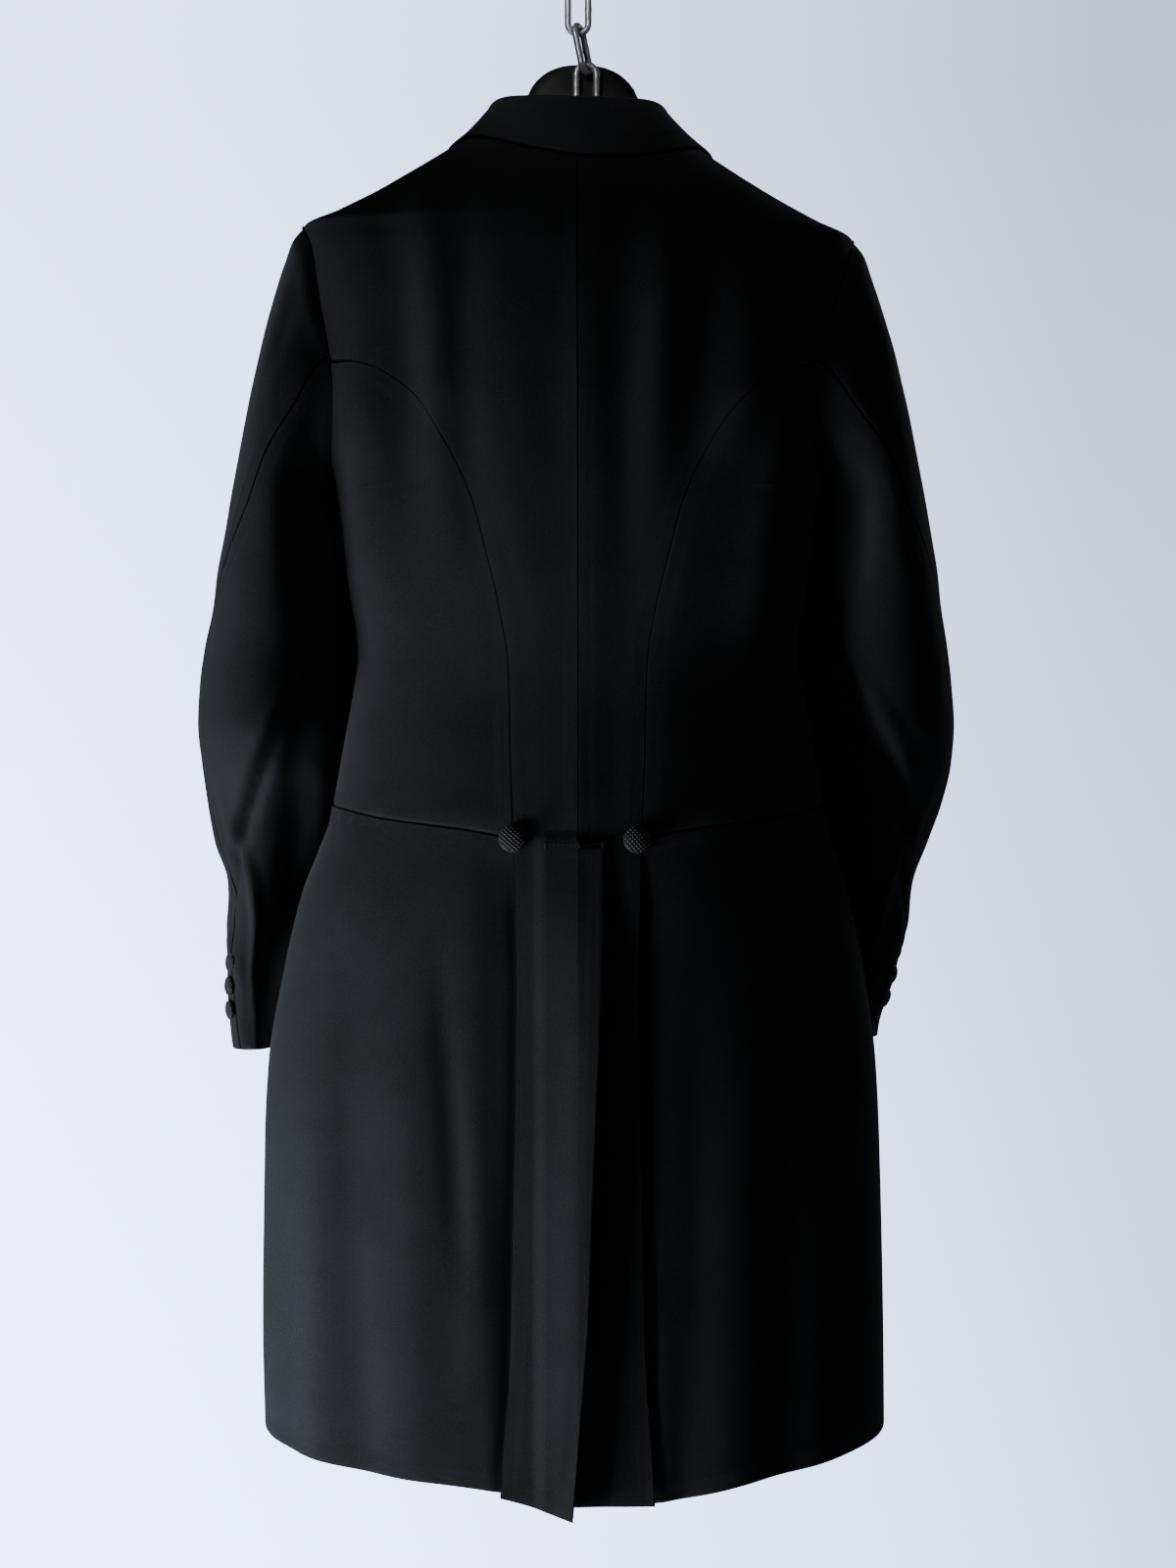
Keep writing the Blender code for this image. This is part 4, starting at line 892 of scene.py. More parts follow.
def fore_edges(side):
    """Outer edge of a forepart as angle and height, with its place among the rows."""
    key = np.linspace(0.0, SHOULDER_ROWS, 60)
    height = np.interp(key, range(SHOULDER_ROWS + 1), [row[0] for row in SHOULDER_SEAM])
    shoulder = (curve(SHOULDER_SEAM, height, 1), height, key, 26)
    turn = np.linspace(-0.5, -179.9, 120)
    angle, height = armhole_line(side, turn)
    armhole = (np.abs(angle), height, SHOULDER_ROWS + ARMHOLE_ROWS * turn / -180.0, 56)
    height = np.linspace(-400.4, SIDE_SEAM_FOOT, 80)
    key = np.interp(height, (-631.0, -600.0, -560.0, -525.0, -492.0, -458.0, -425.0, -399.1),
                    (23.0, 22.0, 21.0, 20.0, 19.0, 18.0, 17.0, 16.0))
    seam = (UNDERARM_ANGLE * np.ones(80), height, key, 60)
    rows = []
    for angle, height, key, count in (shoulder, armhole, seam):
        even_angle, even_height = evenly(side * angle, height, count)
        points = body_place(side * angle, height)
        run = np.concatenate([[0.0], np.cumsum(np.linalg.norm(np.diff(points, axis=0), axis=1))])
        even_key = np.interp(np.linspace(0.0, run[-1], count + 1), run, key)
        skip = 1 if rows else 0
        rows.append(np.stack([np.abs(even_angle), even_height, even_key], axis=1)[skip:])
    return np.concatenate(rows)


def make_forepart(side):
    start, level, key = fore_edges(side).T
    front = curve(tuple(enumerate(FORE_FRONT_ROWS)), key, 1)
    end = curve(FRONT_EDGE, front, 1)
    start = shift_turn(start, level, SEAM_OPEN)
    share = finer_ends(FORE_COLUMNS)
    angle = start[:, None] + (end - start)[:, None] * share
    neck_top = curve(NECK_SEAM, start, 1)[:, None]
    fall = (curve(NECK_SEAM, angle, 1) - neck_top) / (curve(NECK_SEAM, end, 1)[:, None] - neck_top)
    high = (1.0 - ease(*FORE_NECK, front))[:, None]
    mixed = share + (fall - share) * high
    line = level[:, None] + (front - level)[:, None] * mixed
    seam = curve(WAIST_SEAM, angle, 1) + level[:, None] - SIDE_SEAM_FOOT
    height = line + (seam - line) * ease(*FORE_WAIST, front)[:, None]
    points = coat_place(side * angle, height)
    word = SIDES[side]
    return cloth_piece("forepart_panel_" + word, [facing(side, points)], "forepart_" + word)


for side in SIDES:
    make_forepart(side)

# Tails. Wool skirts sewn to the waist seam, cut away from the hips to the back, with a
# pleat that goes in under the back strip and soft upright folds.

# Front edge: height, angle
TAIL_FRONT = (
    (-640, 138),
    (-652, 124),
    (-670, 111),
    (-700, 102),
    (-760, 97),
    (-900, 94),
    (-1150, 90),
)
# Hem: angle, height on the left and the right
TAIL_HEM = (
    (20, -1129, -1137),
    (45, -1120.5, -1128),
    (62, -1114.5, -1116.5),
    (75, -1105.5, -1104.5),
    (95, -1084, -1084),
)
TAIL_ROWS = 130
TAIL_COLUMNS = 84
PLEAT_SINK = 3.4
PLEAT_WIDTH = 34.0
PLEAT_UNDER = 13.0             # how far the pleat runs in under the strip
GROOVE_DEPTH = 1.4
GROOVE_WIDTH = 5.0
TAIL_TOP = -640.0
TAIL_LENGTH = 490.0
GATHER = 1.1
GATHER_PITCH = 9.0
GATHER_PLACE = 166.0
GATHER_WIDTH = 22.0
GATHER_FALL = 16.0


def gathers(side, angle, height, top):
    """Small puckers just below the left waist seam, at the hip."""
    if side > 0:
        return np.zeros(angle.shape)
    across = np.abs(body_place(-angle, height)[..., 0])
    place = np.exp(-((across - GATHER_PLACE) / GATHER_WIDTH) ** 2)
    place *= np.exp(-np.maximum(top - height, 0.0) / GATHER_FALL) * ease(0.0, 3.0, top - height)
    return GATHER * place * np.sin(2.0 * math.pi * across / GATHER_PITCH)


def make_tail(side):
    share = finer_ends(TAIL_ROWS, 0.25)
    level = TAIL_TOP - TAIL_LENGTH * share
    distance = curve(BACK_SEAM, np.minimum(level, -655.0), 1)
    under = PLEAT_UNDER * ease(0.0, 0.03, share)
    start = np.abs(body_turn(distance + SEAM_OPEN - under, level, side))
    end = curve(TAIL_FRONT, level, 1)
    angle = start[:, None] + (end - start)[:, None] * finer_ends(TAIL_COLUMNS, 0.2)
    top = curve(WAIST_SEAM, angle, 1) - SEAM_OPEN
    height = top + (curve(TAIL_HEM, angle, 1 if side < 0 else 2) - top) * share[:, None]
    across = np.abs(body_place(side * angle, height)[..., 0])
    near = 1.0 - ease(0.0, PLEAT_WIDTH, across - distance[:, None])
    groove = np.exp(-(np.maximum(across - distance[:, None], 0.0) / GROOVE_WIDTH) ** 2)
    low = ease(0.0, 0.12, share)[:, None]
    lift = -(PLEAT_SINK * near + GROOVE_DEPTH * groove) * low + gathers(side, angle, height, top)
    points = coat_place(side * angle, height, lift)
    word = SIDES[side]
    return cloth_piece("tail_panel_" + word, [facing(side, points)], "tail_" + word)


for side in SIDES:
    make_tail(side)

# Vent stitches. A row of black silk stitches holds the top of the flap at the waist, with
# a short bar tack of two threads at each end and on the middle seam.

STITCH_HEIGHT = -659.6
STITCH_FROM = -23.0
STITCH_TO = 17.8
STITCH_PITCH = 3.0
STITCH_LENGTH = 2.1
THREAD = 0.34
TACKS = (-23.0, 0.6, 17.6)
TACK_LENGTH = 5.5


def thread_finish():
    """Black silk thread: smooth, with a twist that shows as fine slanting lines."""
    surface, tree, shader = new_material("silk thread", (0.02, 0.02, 0.022), 0.4)
    place = add_node(tree, "ShaderNodeTexCoord")
    twist = add_node(tree, "ShaderNodeTexWave", bands_direction="DIAGONAL", Scale=900.0)
    tree.links.new(place.outputs["Object"], twist.inputs["Vector"])
    tree.links.new(shade_mix(tree, twist.outputs["Fac"], (0.014, 0.014, 0.016), (0.045, 0.045, 0.05)),
                   shader.inputs["Base Color"])
    add_bump(tree, shader, twist.outputs["Fac"], 0.00006)
    return surface


THREAD_FINISH = thread_finish()


def add_stitch(bm, centre, along, out, length):
    """One stitch: a short round bar that dips into the cloth at both ends."""
    made = bmesh.ops.create_uvsphere(bm, u_segments=8, v_segments=6, radius=1.0)["verts"]
    across = out.cross(along)
    turned = Matrix((along * length * 0.5, across * THREAD, out * THREAD)).transposed() * MM
    bmesh.ops.transform(bm, verts=made, matrix=Matrix.Translation(centre) @ turned.to_4x4())


def coat_spot(angle, height, lift):
    """One settled place on the outside of the coat, with the ways out and along."""
    spot = settle(coat_place(np.array([angle]), np.array([height]), lift))[0] * MM
    out = body_out(np.array([angle]), np.array([height]))[0]
    return Vector(spot), Vector(out), Vector((-out[1], out[0], 0.0)).normalized()


def turn_at(distance, height, side=1):
    """Angle of one place on the back of the body, this far from the middle."""
    return float(body_turn(np.array([distance]), np.array([height]), side)[0])


def make_vent_stitches():
    bm = bmesh.new()
    count = int((STITCH_TO - STITCH_FROM) / STITCH_PITCH)
    for n in range(count + 1):
        across = STITCH_FROM + (STITCH_TO - STITCH_FROM) * n / count
        angle = turn_at(across, STITCH_HEIGHT)
        spot, out, along = coat_spot(angle, STITCH_HEIGHT, FLAP_LIFT + 0.05)
        add_stitch(bm, spot, along, out, STITCH_LENGTH)
    for across in TACKS:
        angle = turn_at(across, STITCH_HEIGHT)
        for side in (-0.45, 0.45):
            spot, out, along = coat_spot(angle, STITCH_HEIGHT - 0.5, FLAP_LIFT + 0.15)
            add_stitch(bm, spot + along * side * MM, out.cross(along), out, TACK_LENGTH)
    return finish_piece("vent_stitches", bm, [THREAD_FINISH], None)


make_vent_stitches()

# Collar. A folded wool collar round the neck: the stand goes up inside, turns over a soft
# roll, and the fall lies on the back and the shoulders.

# angle, height of the fold, how far it stands out from the neck seam, height of the edge
# on the left and the right
COLLAR = (
    (0, -118, -2, -162, -162),
    (30, -117, -4, -155.5, -161),
    (50, -115.5, -9, -148.5, -155),
    (65, -117.5, -13, -144, -149),
    (80, -124, -16, -141.5, -145.5),
    (95, -134, -12, -148, -150),
    (110, -149, -6, -168, -168),
    (125, -168.5, -1, -190, -190),
    (140, -190, 2, -212, -212),
)
COLLAR_END = 140.0
COLLAR_COLUMNS = 170
COLLAR_WALL = 2.0
FOLD_RADIUS = 2.8
COLLAR_LIFT = 1.8
FALL_LIFT = 1.0
FALL_SWELL = 2.2


def make_collar():
    angle = np.linspace(-COLLAR_END, COLLAR_END, COLLAR_COLUMNS + 1)
    size = np.abs(angle)
    neck, fold, out = curve(NECK_SEAM, size, 1), curve(COLLAR, size, 1), curve(COLLAR, size, 2)
    edge = np.where(angle < 0.0, curve(COLLAR, size, 3), curve(COLLAR, size, 4))
    normal = body_out(angle, neck)
    flat = unit(normal * (1.0, 1.0, 0.0))
    up = np.array((0.0, 0.0, 1.0))
    foot = body_place(angle, neck) - normal * 0.9 + up * COLLAR_LIFT
    crest = foot * (1.0, 1.0, 0.0) + up * fold[:, None] + flat * out[:, None]
    lip = body_place(angle, edge) + body_out(angle, edge) * (FALL_LIFT + 0.5 * COLLAR_WALL)
    roll = crest - up * FOLD_RADIUS
    stand_top, fall_top = roll - flat * FOLD_RADIUS, roll + flat * FOLD_RADIUS
    rows = [foot + (stand_top - foot) * t for t in np.linspace(0.0, 0.96, 12)]
    for turn in np.linspace(0.0, math.pi, 13):
        rows.append(roll - flat * math.cos(turn) * FOLD_RADIUS + up * math.sin(turn) * FOLD_RADIUS)
    for t in finer_ends(26, 0.3)[1:]:
        rows.append(fall_top + (lip - fall_top) * t + flat * FALL_SWELL * math.sin(math.pi * t) ** 0.8)
    points = np.stack(rows)
    return cloth_piece("collar_fold", [points], "collar",
                       wall=COLLAR_WALL, roll=1.6, depth=0.6)


make_collar().modifiers["wall"].offset = 0.0

# Lapels. Peaked facings of black ribbed silk on the foreparts, from the collar to the
# waist, each with a worked buttonhole.

# Outer edge: height, angle
LAPEL_EDGE = (
    (-206, 112),
    (-226, 106),
    (-262, 113),
    (-340, 126),
    (-420, 140),
    (-486, 153),
)
LAPEL_ROWS = 90
LAPEL_COLUMNS = 40
LAPEL_WALL = 1.4
LAPEL_LIFT = 0.9
LAPEL_TOP = -206.0
LAPEL_LENGTH = 280.0
LAPEL_INSET = 1.2              # degrees between the silk and the front edge
PEAK_DROP = 20.0
PEAK_END = -300.0
LAPEL_PUFF = 1.6
LAPEL_POINT = (-486.0, -400.0)  # the silk flattens between these towards its lower point
SILK = cloth_finish("black silk", (0.009, 0.009, 0.010), (0.020, 0.020, 0.023),
                    0.30, 900.0, 0.00008, 0.10, 0.3)


def make_lapel(side):
    level = LAPEL_TOP - LAPEL_LENGTH * finer_ends(LAPEL_ROWS)
    end = curve(FRONT_EDGE, level, 1) - LAPEL_INSET
    start = curve(LAPEL_EDGE, level, 1)
    share = finer_ends(LAPEL_COLUMNS, 0.2)
    angle = start[:, None] + (end - start)[:, None] * share
    peak = PEAK_DROP * (1.0 - ease(LAPEL_TOP, PEAK_END, level))[:, None]
    height = level[:, None] - peak * ease(0.0, 1.0, share)
    puff = LAPEL_PUFF * np.sin(math.pi * share) * ease(*LAPEL_POINT, level)[:, None]
    points = coat_place(side * angle, height, LAPEL_LIFT + LAPEL_WALL + puff)
    word = SIDES[side]
    return cloth_piece("lapel_facing_" + word, [facing(side, points)], "lapel_" + word,
                       surface=SILK,
                       wall=LAPEL_WALL, roll=1.4, depth=0.7)


for side in SIDES:
    make_lapel(side)

HOLE_HEIGHT = -252.0
HOLE_ANGLES = (126.0, 133.0)
HOLE_STITCHES = 22
HOLE_LIFT = 1.5
HOLE_HALF = 1.1                # from the slit to the middle of a stitch
HOLE_STITCH = 2.0


def make_buttonhole(side):
    """Row of short stitches across each side of a slit."""
    bm = bmesh.new()
    lift = LAPEL_LIFT + LAPEL_WALL + HOLE_LIFT
    for n in range(HOLE_STITCHES + 1):
        angle = side * (HOLE_ANGLES[0] + (HOLE_ANGLES[1] - HOLE_ANGLES[0]) * n / HOLE_STITCHES)
        spot, out, along = coat_spot(angle, HOLE_HEIGHT, lift)
        for edge in (-1.0, 1.0):
            down = out.cross(along)
            add_stitch(bm, spot + down * edge * HOLE_HALF * MM, down, out, HOLE_STITCH)
    word = SIDES[side]
    return finish_piece("buttonhole_" + word, bm, [THREAD_FINISH], None)


for side in SIDES:
    make_buttonhole(side)

# Sleeves. Two-piece wool sleeves, cut full at the head and curved at the elbow; they hang
# empty, so the cloth breaks into slanting folds under the arm and at the elbow.

# height, outer, inner, back, front, squareness
SLEEVE_LEFT = (
    (-412, 259.5, 183, 67, 78, 2.2),
    (-455, 268.5, 175, 61, 92, 2.2),
    (-485, 273.3, 170, 56, 97, 2.2),
    (-514, 279.6, 165, 52, 100, 2.2),
    (-543, 283.8, 167.5, 51, 101, 2.2),
    (-572, 285.4, 172.5, 49, 101, 2.2),
    (-601, 283, 176.5, 38, 102, 2.2),
    (-631, 280.2, 178.5, 20, 104, 2.2),
    (-660, 275.8, 184, 8, 104, 2.2),
    (-689, 266.6, 196, 0, 106, 2.3),
    (-718, 265.2, 208, -4, 108, 2.5),
    (-762, 266.5, 226, -7, 113, 2.8),
    (-806, 263.5, 231, -10, 118, 3),
    (-815, 262, 231, -10, 119, 3),
)
SLEEVE_RIGHT = (
    (-412, 259, 183, 68, 78, 2.2),
    (-455, 267.5, 175, 62, 92, 2.2),
    (-485, 271.8, 170, 56, 97, 2.2),
    (-514, 276.8, 165, 52, 100, 2.2),
    (-543, 280, 168, 51, 101, 2.2),
    (-572, 282, 172.5, 49, 101, 2.2),
    (-601, 280.8, 176, 36, 104, 2.2),
    (-631, 275.4, 176.5, 14, 108, 2.2),
    (-660, 266, 179, -2, 112, 2.2),
    (-689, 255.6, 186, -14, 116, 2.3),
    (-718, 251, 192, -22, 120, 2.5),
    (-762, 242.5, 197, -30, 128, 2.8),
    (-800, 230.5, 194, -36, 134, 3),
    (-808, 229.5, 193, -36, 135, 3),
)
# Seams: height, angle round the sleeve of the back and of the front seam
SLEEVE_SEAMS = (
    (-208, 92, 248),
    (-330, 92, 248),
    (-400, 68, 244),
    (-455, 40, 240),
    (-514, 22, 236),
    (-600, 24, 236),
    (-720, 48, 240),
    (-820, 70, 244),
)
# Folds: height, angle, half height, half angle, slant for each degree, height of the ridge
SLEEVE_FOLDS = (
    (-258, 58, 60, 13, -0.8, -4),
    (-290, 92, 60, 11, -0.8, 2.6),
    (-405, 172, 12, 30, 0.2, 3.2),
    (-429, 178, 15, 26, 0, 4),
    (-440, 148, 46, 11, 2.2, 11),
    (-450, 122, 70, 22, 0.6, -11),
    (-505, 168, 42, 12, -1.6, 4.5),
    (-500, 58, 60, 24, -0.6, 4),
    (-560, 122, 66, 26, 0, -14),
    (-590, 84, 15, 32, -2, 6),
    (-636, 74, 13, 28, -2, -8),
    (-668, 120, 60, 28, 0, -14),
    (-694, 72, 18, 24, 2.6, 5),
    (-738, 44, 14, 34, 0.7, 3),
)
HEAD_FULLNESS = 1.6
HEAD_PLACE = 0.11              # where the head is fullest, as a share of the way to the first ring
HEAD_LENGTH = 0.07
HEAD_TURN = 10.0
CAP_PRESS = 0.6                # the sleeve's top edge presses this far into the coat
HEAD_ROWS = 22
ARM_ROWS = 30
SLEEVE_ROWS = 140
TOP_COLUMNS = 64
UNDER_COLUMNS = 50


def sleeve_ring(side, height, turn):
    """Points of level rings of a sleeve; turn 0 is outside and 90 is behind."""
    rows = SLEEVE_LEFT if side < 0 else SLEEVE_RIGHT
    outer, inner, back, front, power = (curve(rows, height, n) for n in (1, 2, 3, 4, 5))
    across, along = np.cos(np.radians(turn)), -np.sin(np.radians(turn))
    reach = (np.abs(across) ** power + np.abs(along) ** power) ** (-1.0 / power)
    x = 0.5 * (outer + inner) + 0.5 * (outer - inner) * across * reach
    y = 0.5 * (front - back) + 0.5 * (front + back) * along * reach
    return np.stack([side * x, y, height + 0.0 * turn], axis=-1)


def sleeve_place(side, turn, down):
    """Points of a plain sleeve; down is 0 at the armhole, 1 at the first ring, 2 at the cuff."""
    turn, down = np.broadcast_arrays(np.mod(turn, 360.0), np.asarray(down, float))
    rows = SLEEVE_LEFT if side < 0 else SLEEVE_RIGHT
    first = rows[0][0]
    lower = sleeve_ring(side, first + (rows[-1][0] - first) * np.maximum(down - 1.0, 0.0), turn)
    start = coat_place(*armhole_line(side, turn))
    start[..., 0] -= side * CAP_PRESS
    end = sleeve_ring(side, first + 0.0 * turn, turn)
    arrive = unit(sleeve_ring(side, first - 6.0 + 0.0 * turn, turn) - end)
    reach = np.linalg.norm(end - start, axis=-1, keepdims=True)
    bend = np.radians(turn)
    leave = unit(np.stack([side + 0.0 * turn, -0.25 * np.sin(bend),
                           -0.3 - 0.85 * np.cos(bend) ** 2], axis=-1))
    t = np.minimum(down, 1.0)[..., None]
    upper = (start * ((1 + 2 * t) * (1 - t) ** 2) + leave * reach * 0.5 * (t * (1 - t) ** 2)
             + end * (t * t * (3 - 2 * t)) + arrive * reach * (t * t * (t - 1)))
    return np.where(down[..., None] >= 1.0, lower, upper)


def sleeve_out(side, turn, down):
    """Way out of a plain sleeve."""
    low, high = np.maximum(down - 0.01, 0.0), np.minimum(down + 0.01, 2.0)
    round_way = sleeve_place(side, turn + 2.0, down) - sleeve_place(side, turn - 2.0, down)
    down_way = sleeve_place(side, turn, high) - sleeve_place(side, turn, low)
    return unit(np.cross(round_way, down_way) * side)


def sleeve_lift(turn, height, down):
    """How far the folds and the fullness of the head lift the sleeve's cloth."""
    total = np.zeros(turn.shape)
    for level, angle, half_height, half_angle, slant, lift in SLEEVE_FOLDS:
        off = np.mod(turn - angle + 180.0, 360.0) - 180.0
        away = (height - level + slant * off) / half_height
        total += lift * np.exp(-(off / half_angle) ** 2 - away ** 2)
    head = np.exp(-((down - HEAD_PLACE) / HEAD_LENGTH) ** 2)
    head *= np.clip(np.cos(np.radians(turn - HEAD_TURN)), 0.0, 1.0)
    return total * ease(0.12, 0.4, down) + HEAD_FULLNESS * head


def make_sleeve(side, top):
    below = np.linspace(0.0, 1.0, SLEEVE_ROWS)[1:]
    down = np.concatenate([np.linspace(0.0, 0.25, HEAD_ROWS), np.linspace(0.25, 1.0, ARM_ROWS)[1:],
                           1.0 + np.sin(0.5 * math.pi * below)])
    middle = sleeve_place(side, np.full(down.shape, 90.0), down)[:, 2]
    back, front = curve(SLEEVE_SEAMS, middle, 1), curve(SLEEVE_SEAMS, middle, 2)
    start, end = (front - 360.0, back) if top else (back, front)
    columns = TOP_COLUMNS if top else UNDER_COLUMNS
    turn = start[:, None] + (end - start)[:, None] * finer_ends(columns)
    down = np.broadcast_to(down[:, None], turn.shape)
    plain = sleeve_place(side, turn, down)
    lift = sleeve_lift(turn, plain[..., 2], down)
    ripples = np.array([noise.noise(Vector(point) / RIPPLE_WIDTH) for point in plain.reshape(-1, 3)])
    lift = lift + RIPPLE * ripples.reshape(lift.shape) * ease(0.0, 0.3, down)
    points = plain + sleeve_out(side, turn, down) * lift[..., None]
    word = SIDES[side]
    name = "top" if top else "under"
    return cloth_piece("sleeve_panel_%s_%s" % (name, word), [facing(-side, points)],
                       "sleeve_%s_%s" % (name, word))


for side in SIDES:
    make_sleeve(side, True)
    make_sleeve(side, False)

# Buttons. Low domes covered in black patterned silk: two at the back of the waist, three
# on each cuff and three on each forepart, each sewn on through the cloth.

BACK_RADIUS = 10.0
CUFF_RADIUS = 7.2
FRONT_RADIUS = 10.0
BUTTON_HIGH = 0.5              # height over radius
BUTTON_SEGMENTS = 48
# distance from the axis and height, as shares of the radius and of the height
BUTTON_PROFILE = ((0.80, 0.0), (0.93, 0.10), (0.99, 0.24), (1.0, 0.40), (0.97, 0.54), (0.91, 0.64),
                  (0.86, 0.665), (0.82, 0.70), (0.74, 0.79), (0.62, 0.88), (0.46, 0.95), (0.26, 0.99),
                  (0.08, 1.0))


def button_finish():
    """Silk covered button: a raised lattice of small lozenges inside a smooth rim."""
    surface, tree, shader = new_material("covered button", (0.014, 0.014, 0.016), 0.5)
    shader.inputs["Sheen Weight"].default_value = 0.12
    spot = add_node(tree, "ShaderNodeAttribute", attribute_name="button_face")
    waves = []
    for direction in ("X", "Y"):
        wave = add_node(tree, "ShaderNodeTexWave", bands_direction=direction, Scale=1.35)
        tree.links.new(spot.outputs["Vector"], wave.inputs["Vector"])
        waves.append(wave.outputs["Fac"])
    lattice = add_node(tree, "ShaderNodeMath", operation="MULTIPLY")
    tree.links.new(waves[0], lattice.inputs[0])
    tree.links.new(waves[1], lattice.inputs[1])
    tree.links.new(shade_mix(tree, stretch(tree, lattice.outputs[0], 0.1, 0.6, 0.0, 1.0),
                             (0.008, 0.008, 0.009), (0.085, 0.085, 0.095)),
                   shader.inputs["Base Color"])
    tree.links.new(stretch(tree, lattice.outputs[0], 0.1, 0.6, 0.62, 0.38), shader.inputs["Roughness"])
    add_bump(tree, shader, lattice.outputs[0], 0.0009)
    return surface


COVER = button_finish()


def make_button(node, place, out, radius):
    """Dome spun from its profile, standing on its place along the way out."""
    bm = bmesh.new()
    face = bm.verts.layers.float_vector.new("button_face")
    line = [bm.verts.new((reach * radius * MM, 0.0, rise * radius * BUTTON_HIGH * MM))
            for reach, rise in BUTTON_PROFILE]
    edges = [bm.edges.new(pair) for pair in zip(line, line[1:])]
    bmesh.ops.spin(bm, geom=line + edges, cent=(0, 0, 0), axis=(0, 0, 1), angle=2.0 * math.pi,
                   steps=BUTTON_SEGMENTS, use_merge=True, use_duplicate=False)
    bmesh.ops.remove_doubles(bm, verts=bm.verts, dist=0.005 * MM)
    bmesh.ops.holes_fill(bm, edges=[edge for edge in bm.edges if edge.is_boundary])
    bmesh.ops.recalc_face_normals(bm, faces=bm.faces)
    quarter = Matrix.Rotation(math.radians(45.0), 3, "Z")
    for vert in bm.verts:
        vert[face] = quarter @ (vert.co / (radius * MM))
    turned = Vector((0, 0, 1)).rotation_difference(out).to_matrix().to_4x4()
    bmesh.ops.transform(bm, matrix=Matrix.Translation(place) @ turned, verts=bm.verts)
    return finish_piece(node.replace("button", "cover"), bm, [COVER], node)


BACK_BUTTONS = (("left", -1, 46.6, -655.3), ("right", 1, 42.4, -656.0))
for word, side, distance, height in BACK_BUTTONS:
    place, out, _ = coat_spot(turn_at(distance, height, side), height, 0.5)
    make_button("back_button_" + word, place, out, BACK_RADIUS)

CUFF_TURN = 50.0
CUFF_HEIGHTS = {-1: (-749.5, -767.5, -785.5), 1: (-742.0, -760.0, -778.0)}
for side, word in SIDES.items():
    rows = SLEEVE_LEFT if side < 0 else SLEEVE_RIGHT
    for n, height in enumerate(CUFF_HEIGHTS[side]):
        down = np.array([1.0 + (height - rows[0][0]) / (rows[-1][0] - rows[0][0])])
        turn = np.array([CUFF_TURN])
        out = sleeve_out(side, turn, down)
        spot = settle(sleeve_place(side, turn, down) + out * 0.3)[0] * MM
        make_button("cuff_button_%s_%d" % (word, n + 1), Vector(spot), Vector(out[0]),
                    CUFF_RADIUS)

FRONT_BUTTONS = ((-470.0, 122.0), (-535.0, 127.0), (-600.0, 132.0))
for side, word in SIDES.items():
    for n, (height, angle) in enumerate(FRONT_BUTTONS):
        place, out, _ = coat_spot(side * angle, height, 0.6)
        make_button("front_button_%s_%d" % (word, n + 1), place, out, FRONT_RADIUS)

# Studio. A plain pale floor well below the hem and a pale surround that hardly lights the
# cloth. One small window light low on the left rakes across the coat, so its right half falls
# into shade, with weak fills before and behind it and two lamps for the chain and shoulders.

FLOOR_HEIGHT = -1.9
FLOOR_RADIUS = 2.4
SENSOR = 36.0
FOCAL_LENGTH = 70.9
CAMERA_PLACE = (0.0073, -2.28, -0.6161)


def make_floor():
    bm = bmesh.new()
    bmesh.ops.create_circle(bm, cap_ends=True, segments=96, radius=FLOOR_RADIUS,
                            matrix=Matrix.Translation((0.0, 0.02, FLOOR_HEIGHT)))
    mesh = bpy.data.meshes.new("floor")
    bm.to_mesh(mesh)
    bm.free()
    surface, tree, shader = new_material("painted floor", (0.72, 0.73, 0.77), 0.7)
    uneven = place_uneven(tree, 1.5, 60.0)
    tree.links.new(shade_mix(tree, uneven.outputs[0], (0.68, 0.69, 0.73), (0.76, 0.77, 0.81)),
                   shader.inputs["Base Color"])
    add_bump(tree, shader, uneven.outputs[1], 0.0004)
    shader.inputs["Emission Color"].default_value = (0.86, 0.92, 1.0, 1.0)
    way_in = add_node(tree, "ShaderNodeLightPath")
    tree.links.new(stretch(tree, way_in.outputs["Is Camera Ray"], 0.0, 1.0, 0.0, 1.5),
                   shader.inputs["Emission Strength"])
    mesh.materials.append(surface)
    floor = bpy.data.objects.new("floor", mesh)
    bpy.context.scene.collection.objects.link(floor)


make_floor()


def place_light(name, kind, place, aim, power):
    """Light of a kind that faces a point."""
    lamp = bpy.data.lights.new(name, kind)
    lamp.energy = power
    light = bpy.data.objects.new(name, lamp)
    light.location = place
    light.rotation_euler = (Vector(aim) - Vector(place)).to_track_quat("-Z", "Y").to_euler()
    bpy.context.scene.collection.objects.link(light)
    return lamp


def add_window(name, place, aim, width, height, power, colour):
    """Soft rectangular light."""
    lamp = place_light(name, "AREA", place, aim, power)
    lamp.shape = "RECTANGLE"
    lamp.size, lamp.size_y = width, height
    lamp.color = colour


add_window("window", (-1.05, -0.33, -1.34), (-0.1, -0.05, -0.95), 0.4, 0.7, 17.0, (0.82, 0.91, 1.0))
add_window("room", (1.5, -1.9, 0.2), (0.1, 0.0, -0.5), 1.2, 1.2, 1.3, (0.98, 1.0, 1.0))
add_window("front window", (1.7, 2.1, 0.3), (0.0, 0.1, -0.55), 1.0, 1.4, 4.0, (0.95, 0.98, 1.0))


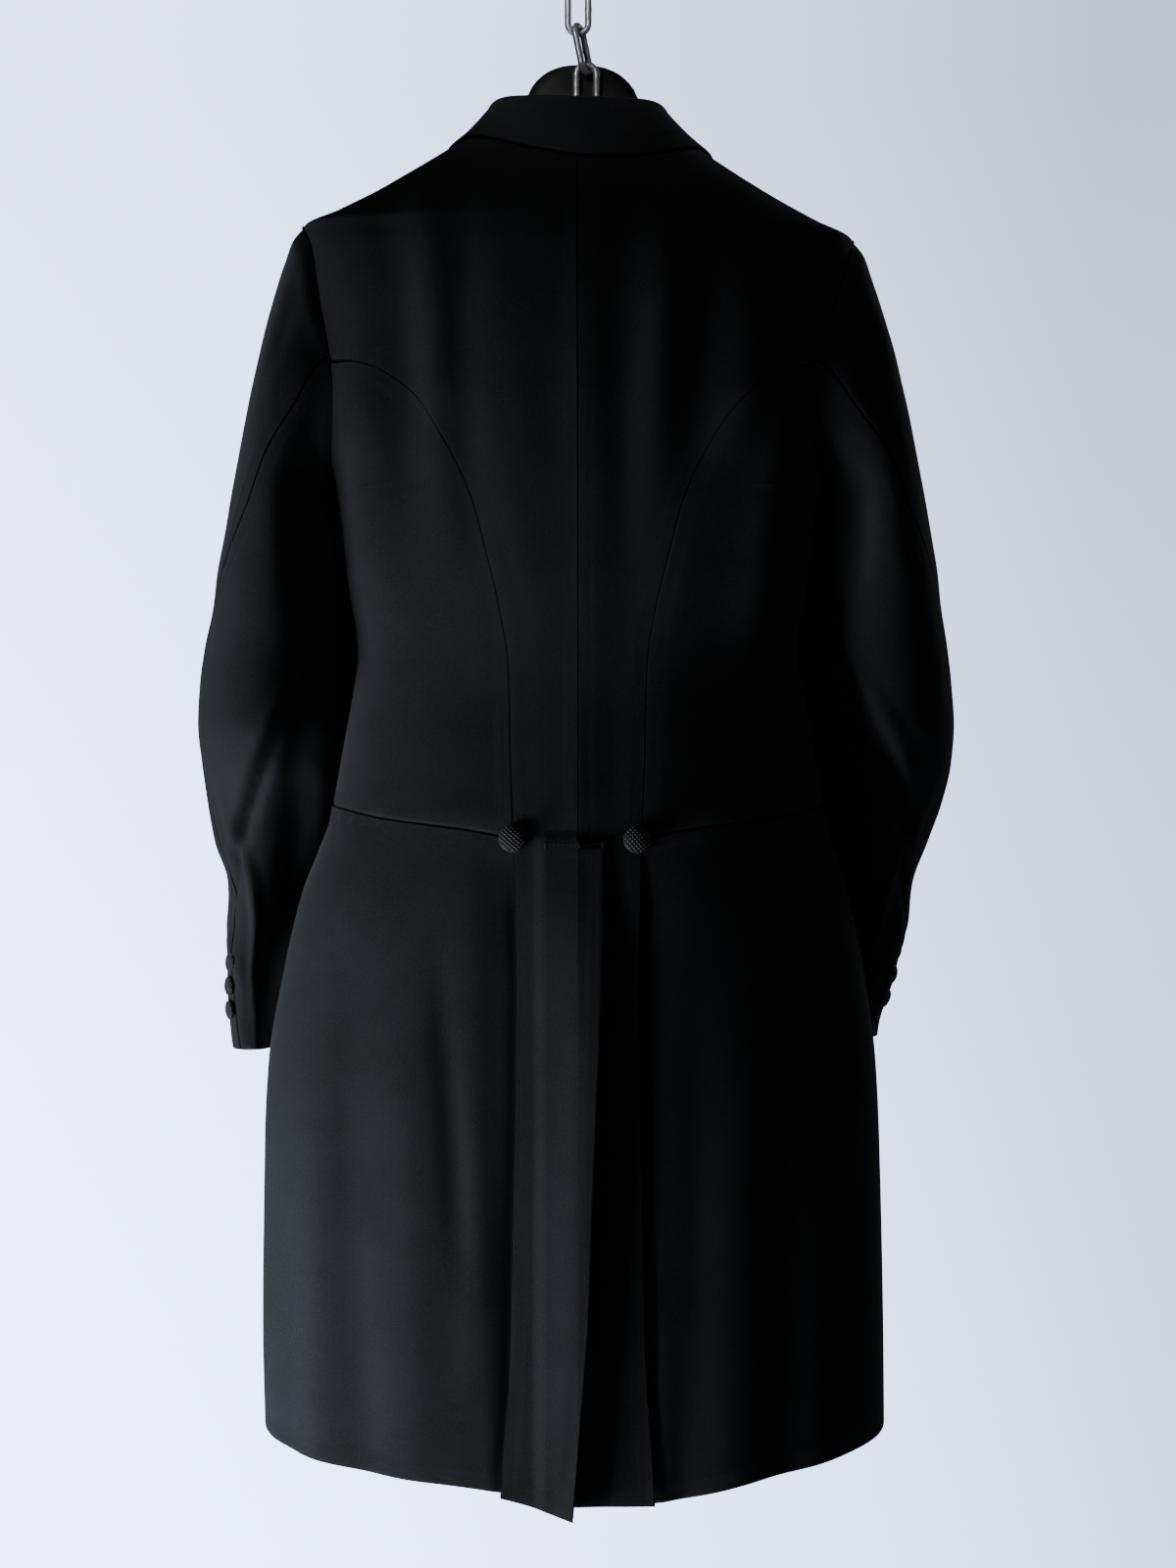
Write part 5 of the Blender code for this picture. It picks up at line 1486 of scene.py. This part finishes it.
def add_lamp(name, place, aim, cone, power, radius):
    """Round lamp with a soft-edged cone."""
    lamp = place_light(name, "SPOT", place, aim, power)
    lamp.spot_size = math.radians(cone)
    lamp.spot_blend = 0.9
    lamp.shadow_soft_size = radius


add_lamp("chain lamp", (-0.5, -1.3, 0.35), (0.0, 0.0, 0.03), 9.0, 90.0, 0.15)
add_lamp("shoulder lamp", (-0.7, -0.9, 1.1), (-0.02, 0.0, -0.13), 26.0, 6.5, 0.3)

surround = bpy.data.worlds.new("studio")
bpy.context.scene.world = surround
surround.use_nodes = True
sky = surround.node_tree
shown = sky.nodes["Background"]
way = add_node(sky, "ShaderNodeTexCoord")
split = add_node(sky, "ShaderNodeSeparateXYZ")
sky.links.new(way.outputs["Generated"], split.inputs[0])
upper = shade_mix(sky, stretch(sky, split.outputs["X"], -0.2, 0.16, 0.0, 1.0),
                  (2.6, 3.0, 4.4), (0.86, 0.95, 1.22))
lower = shade_mix(sky, stretch(sky, split.outputs["X"], -0.2, 0.2, 0.0, 1.0),
                  (4.4, 5.2, 9.0), (1.45, 1.65, 2.3))
backdrop = add_node(sky, "ShaderNodeMix", data_type="RGBA")
sky.links.new(stretch(sky, split.outputs["Z"], 0.22, -0.24, 0.0, 1.0), backdrop.inputs[0])
sky.links.new(upper, backdrop.inputs[6])
sky.links.new(lower, backdrop.inputs[7])
rays = add_node(sky, "ShaderNodeLightPath")
seen = add_node(sky, "ShaderNodeMix", data_type="RGBA")
seen.inputs[6].default_value = (0.012, 0.013, 0.015, 1.0)
sky.links.new(rays.outputs["Is Camera Ray"], seen.inputs[0])
sky.links.new(backdrop.outputs[2], seen.inputs[7])
sky.links.new(seen.outputs[2], shown.inputs["Color"])

lens = bpy.data.cameras.new("camera")
lens.sensor_width = SENSOR
lens.lens = FOCAL_LENGTH
lens.clip_end = 50.0
camera = bpy.data.objects.new("camera", lens)
camera.location = CAMERA_PLACE
camera.rotation_euler = (0.5 * math.pi, 0.0, 0.0)
bpy.context.scene.collection.objects.link(camera)
bpy.context.scene.camera = camera
